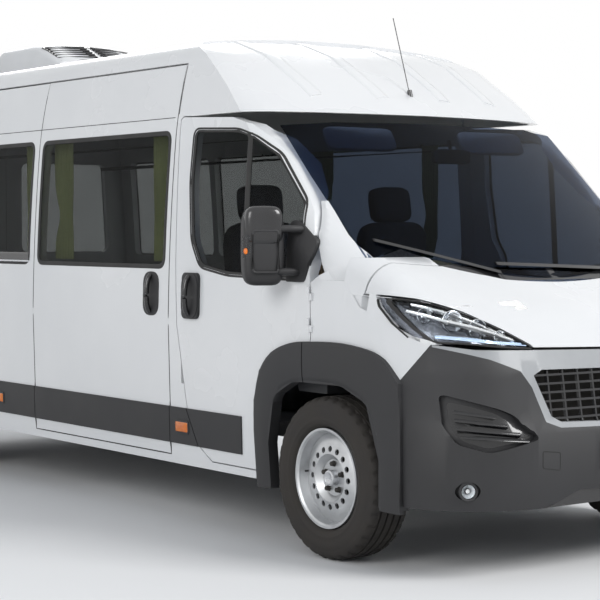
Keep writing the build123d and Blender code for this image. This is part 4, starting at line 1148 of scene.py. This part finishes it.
def roof_unit():
    """Low streamlined housing with louvres in its front slope."""
    across = 28
    verts = []
    for d, half, top in UNIT_ROWS:
        high = top - UNIT_BASE
        verts.append(place(-half, d, UNIT_BASE))
        for k in range(across + 1):
            a = math.pi * k / across
            c = math.cos(a)
            x = -half * math.copysign(abs(c) ** 0.35, c)
            z = UNIT_BASE + high * abs(math.sin(a)) ** 0.35
            verts.append(place(x, d, z))
        verts.append(place(half, d, UNIT_BASE))
    wide = across + 3
    faces = []
    for k in range(len(UNIT_ROWS) - 1):
        a = k * wide
        b = a + wide
        faces += [[a + i, a + (i + 1) % wide, b + (i + 1) % wide, b + i] for i in range(wide)]
    faces += [list(range(wide)), list(range((len(UNIT_ROWS) - 1) * wide, len(UNIT_ROWS) * wide))]
    unit = add_mesh("roof_unit_cover", verts, faces, "unit_white", "van", angle=35.0)
    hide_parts("roof_unit")
    for k, (x0, x1) in enumerate(VENT_EDGES):
        verts = []
        for d, z in VENT_ROWS:
            for x, dz in ((x0, 2.5), (x1, 2.5), (x1, -12.0), (x0, -12.0)):
                verts.append(place(x, d, z + dz - UNIT_CROWN * x * x))
        faces = []
        for i in range(len(VENT_ROWS) - 1):
            a = i * 4
            faces += [[a + j, a + (j + 1) % 4, a + 4 + (j + 1) % 4, a + 4 + j] for j in range(4)]
        faces += [[0, 1, 2, 3], [len(verts) - 4 + j for j in range(4)]]
        add_mesh(f"unit_vent_{k}", verts, faces, "gloss_black", "van")
        middle = (x0 + x1) / 2
        for i in range(7):
            d = 4575.0 + 34.0 * i
            z = table_value(VENT_ROWS, d)
            ends = [
                place(x0 + 6, d, z + 5.0 - UNIT_CROWN * x0 * x0),
                place(middle, d, z + 5.0 - UNIT_CROWN * middle ** 2),
                place(x1 - 6, d, z + 5.0 - UNIT_CROWN * x1 * x1),
            ]
            tube(f"unit_louvre_{k}_{i}", ends, 5.0, "trim", "van", sides=8)


roof_unit()


# Ribs: x at the front end, x at the rear end, d of the front end
RIBS = [(-560.0, -590.0, 1600.0), (-200.0, -215.0, 1540.0), (200.0, 215.0, 1540.0), (560.0, 590.0, 1600.0)]


def roof_ribs():
    """Shallow ribs that run back over the cab's cap."""
    for k, (x0, x1, d) in enumerate(RIBS):
        line = [(x0, d), (x1, 2190.0)]
        strip(f"roof_rib_{k}", line, 42.0, 5.0, "paint", "van", on_top, closed=False, step=80.0, sunk=3.0)


roof_ribs()


# Cabin


LEVEL = Matrix.Identity(3)


def seats():
    """Two front seats of rounded boxes, and the bed's mattress."""
    lean = Matrix.Rotation(math.radians(-9.0), 3, "X")
    for k, x in enumerate((430.0, -430.0)):
        spot = place(x, 1910.0, 680.0)
        soft_box(f"seat_base_{k}", spot, (200.0, 190.0, 119.0), 0.2, LEVEL, "dash", "van", steps=24)
        spot = place(x, 1890.0, 868.0)
        cushion = soft_box(f"seat_cushion_{k}", spot, (240.0, 250.0, 68.0), 0.38, LEVEL, "seat_cloth", "van")
        spot = place(x, 2195.0, 1200.0)
        back = soft_box(f"seat_back_{k}", spot, (230.0, 62.0, 292.0), 0.40, lean, "seat_cloth", "van")
        spot = place(x, 2250.0, 1582.0)
        rest = soft_box(f"head_rest_{k}", spot, (128.0, 46.0, 96.0), 0.45, lean, "seat_cloth", "van")
        if k == 0:
            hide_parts("seats")
        for dx in (-50.0, 50.0):
            post = [place(x + dx, 2228.0, 1460.0), place(x + dx, 2246.0, 1540.0)]
            tube(f"rest_post_{k}_{dx:.0f}", post, 6.0, "chrome", "van")
    spot = place(0.0, 5200.0, 1106.0)
    bed = soft_box("mattress", spot, (920.0, 645.0, 55.0), 0.22, LEVEL, "mattress", "van", steps=64)


# Curtains: side, front d and rear d at the rail
CURTAINS = [
    (-1, 2390.0, 2530.0),
    (-1, 3360.0, 3570.0),
    (-1, 3720.0, 3900.0),
    (1, 2390.0, 2530.0),
    (1, 3360.0, 3570.0),
]
CURTAIN_X = 896.0
CURTAIN_TOP = 1925.0
CURTAIN_LOW = 1290.0
CURTAIN_FOLDS = 7

# Length of a row of folds over its hung width, before the share of their depth that is kept;
# with both, the finished cloth is about 1.48 times as wide as it hangs
CURTAIN_FULL = 2.1
CURTAIN_DEPTH = 0.6


def fold_row(width, length):
    """Offsets (along, across) of one row of folds with a given developed length."""
    count = CURTAIN_FOLDS * 12
    low, high = 0.0, 60.0
    for _ in range(30):
        swing = (low + high) / 2
        row = [
            (width * i / count, swing * math.sin(2 * math.pi * CURTAIN_FOLDS * i / count))
            for i in range(count + 1)
        ]
        total = sum(math.dist(row[i], row[i + 1]) for i in range(count))
        if total < length:
            low = swing
        else:
            high = swing
    return row


def curtains():
    """Gathered curtains on thin rails, drawn in a little below the middle."""
    for k, (side, d0, d1) in enumerate(CURTAINS):
        width = d1 - d0
        length = width * CURTAIN_FULL
        rows = 30
        verts = []
        for j in range(rows + 1):
            t = j / rows
            waist = 1.0 - 0.30 * math.exp(-((t - 0.62) / 0.16) ** 2)
            row = fold_row(width * waist, length)
            shift = (width - width * waist) * (0.15 if k % 2 else 0.85)
            z = CURTAIN_TOP - (CURTAIN_TOP - CURTAIN_LOW) * t
            verts += [
                place(side * (CURTAIN_X + CURTAIN_DEPTH * across), d0 + shift + along, z)
                for along, across in row
            ]
        wide = CURTAIN_FOLDS * 12 + 1
        faces = []
        for j in range(rows):
            a = j * wide
            faces += [[a + i, a + i + 1, a + wide + i + 1, a + wide + i] for i in range(wide - 1)]
        cloth = add_mesh(f"curtain_{k}", verts, faces, "curtain", "van", angle=80.0)
        ends = [place(side * CURTAIN_X, d, CURTAIN_TOP + 3) for d in (d0 - 12, d1 + 12)]
        rail = tube(f"curtain_rail_{k}", ends, 5.0, "silver_trim", "van")
        if k == 0:
            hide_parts("curtains")


seats()
curtains()


def cabin_details():
    """Rear-view mirror, sun visors, dials' hood and centre stack."""
    spot = place(0.0, 1262.0, 1800.0)
    soft_box("rear_view_mirror", spot, (118.0, 18.0, 36.0), 0.4, LEVEL, "dash", "van", steps=28)
    stalk = [place(0.0, 1262.0, 1815.0), place(0.0, 1278.0, 1880.0)]
    tube("mirror_stalk", stalk, 9.0, "dash", "van")
    lean = Matrix.Rotation(math.radians(-30.0), 3, "X")
    for k, x in enumerate((-420.0, 420.0)):
        spot = place(x, 1440.0, 1880.0)
        soft_box(f"visor_{k}", spot, (210.0, 14.0, 62.0), 0.3, lean, "mattress", "van", steps=28)
    spot = place(430.0, 1250.0, 1215.0)
    soft_box("dial_hood", spot, (190.0, 90.0, 42.0), 0.5, LEVEL, "dash", "van", steps=28)
    spot = place(0.0, 1270.0, 1190.0)
    soft_box("centre_stack", spot, (180.0, 80.0, 36.0), 0.4, LEVEL, "dash", "van", steps=28)


cabin_details()


# Rear


def rear_details():
    """Lamps, window seals, blank plate and handle on the rear doors."""
    for word, side in SIDES.items():
        body = f"rear_door_{word}"
        line = rounded(box_line(side * 925.0, side * 1000.0, 700.0, 1180.0), 18.0)
        plate(f"tail_lamp_{word}", line, 12.0, "red_lens", body, on_rear, bulge=3.0)
        line = rounded(box_line(side * 932.0, side * 993.0, 760.0, 850.0), 10.0)
        plate(f"tail_turn_{word}", line, 16.0, "amber", body, on_rear, sunk=-10.0)
        line = mirrored_line([(112.0, 1282.0), (112.0, 1923.0), (788.0, 1923.0), (828.0, 1282.0)], side)
        strip(f"rear_seal_{word}", rounded(line, 52.0), 12.0, 3.0, "rubber", body, on_rear)
    line = rounded(box_line(60.0, 580.0, 900.0, 1012.0), 8.0)
    plate("rear_plate", line, 4.0, "blank_plate", "rear_door_left", on_rear)
    line = rounded(box_line(-110.0, -30.0, 1020.0, 1180.0), 12.0)
    plate("rear_handle", line, 10.0, "trim", "rear_door_right", on_rear, bulge=6.0)


rear_details()


# Camera, light and floor


def aim_camera():
    """Camera at the photograph's place."""
    data = bpy.data.cameras.new("camera")
    data.lens = CAMERA_LENS
    data.sensor_width = 36.0
    data.clip_end = 200.0
    camera = bpy.data.objects.new("camera", data)
    yaw = math.radians(CAMERA_YAW)
    down = math.radians(CAMERA_DOWN)
    look = Vector((math.sin(yaw) * math.cos(down), math.cos(yaw) * math.cos(down), -math.sin(down)))
    turn = look.to_track_quat("-Z", "Y").to_matrix().to_4x4()
    roll = Matrix.Rotation(math.radians(CAMERA_ROLL), 4, "Z")
    camera.matrix_world = Matrix.Translation(CAMERA_PLACE) @ turn @ roll
    bpy.context.scene.collection.objects.link(camera)
    bpy.context.scene.camera = camera


def area_light(name, spot, target, size, watts):
    """Soft square lamp aimed at a point."""
    data = bpy.data.lights.new(name, "AREA")
    data.energy = watts
    data.size = size
    lamp = bpy.data.objects.new(name, data)
    lamp.location = spot
    lamp.rotation_euler = (Vector(target) - Vector(spot)).to_track_quat("-Z", "Y").to_euler()
    bpy.context.scene.collection.objects.link(lamp)


def seen_rays(nodes, link):
    """One for rays that show the backdrop, straight, mirrored or through glass."""
    rays = nodes.new("ShaderNodeLightPath")
    first = nodes.new("ShaderNodeMath")
    first.operation = "MAXIMUM"
    link(rays.outputs["Is Camera Ray"], first.inputs[0])
    link(rays.outputs["Is Glossy Ray"], first.inputs[1])
    second = nodes.new("ShaderNodeMath")
    second.operation = "MAXIMUM"
    link(first.outputs["Value"], second.inputs[0])
    link(rays.outputs["Is Transmission Ray"], second.inputs[1])
    return second.outputs["Value"]


def light_studio():
    """Even world light, a large key from the front and weaker ones from the side and from behind."""
    world = bpy.data.worlds.new("studio")
    world.use_nodes = True
    bpy.context.scene.world = world
    nodes = world.node_tree.nodes
    link = world.node_tree.links.new
    soft = nodes["Background"]
    soft.inputs["Color"].default_value = (0.86, 0.92, 1.0, 1.0)
    soft.inputs["Strength"].default_value = 0.42
    white = nodes.new("ShaderNodeBackground")
    white.inputs["Color"].default_value = (1.0, 1.0, 1.0, 1.0)
    white.inputs["Strength"].default_value = 1.0
    mix = nodes.new("ShaderNodeMixShader")
    link(seen_rays(nodes, link), mix.inputs["Fac"])
    link(soft.outputs["Background"], mix.inputs[1])
    link(white.outputs["Background"], mix.inputs[2])
    link(mix.outputs["Shader"], nodes["World Output"].inputs["Surface"])
    area_light("key", (4.0, -12.0, 9.0), (0.0, -1.5, 1.2), 6.0, 1350.0)
    area_light("side", (-12.0, -5.0, 6.0), (0.0, 0.0, 1.2), 6.0, 650.0)
    area_light("back", (6.0, 11.0, 8.0), (0.0, 1.0, 1.5), 8.0, 600.0)


def lay_floor():
    """Plain pale floor that fades to white far from the van."""
    bpy.ops.mesh.primitive_plane_add(size=120.0, location=(0, 0, 0))
    floor = bpy.context.object
    floor.name = "floor_stage"
    material = bpy.data.materials.new("pale_floor")
    material.use_nodes = True
    nodes = material.node_tree.nodes
    link = material.node_tree.links.new
    shader = nodes["Principled BSDF"]
    shader.inputs["Base Color"].default_value = (0.80, 0.80, 0.80, 1.0)
    shader.inputs["Roughness"].default_value = 0.9
    where = nodes.new("ShaderNodeTexCoord")
    away = nodes.new("ShaderNodeVectorMath")
    away.operation = "LENGTH"
    link(where.outputs["Object"], away.inputs[0])
    fade = nodes.new("ShaderNodeMapRange")
    fade.interpolation_type = "SMOOTHSTEP"
    fade.inputs["From Min"].default_value = 3.2
    fade.inputs["From Max"].default_value = 6.5
    link(away.outputs["Value"], fade.inputs["Value"])
    share = nodes.new("ShaderNodeMath")
    share.operation = "MULTIPLY"
    link(fade.outputs["Result"], share.inputs[0])
    link(seen_rays(nodes, link), share.inputs[1])
    white = nodes.new("ShaderNodeEmission")
    white.inputs["Strength"].default_value = 1.0
    mix = nodes.new("ShaderNodeMixShader")
    link(share.outputs["Value"], mix.inputs["Fac"])
    link(shader.outputs["BSDF"], mix.inputs[1])
    link(white.outputs["Emission"], mix.inputs[2])
    link(mix.outputs["Shader"], nodes["Material Output"].inputs["Surface"])
    floor.data.materials.append(material)


aim_camera()
light_studio()
lay_floor()
bpy.context.scene.view_settings.view_transform = "Standard"
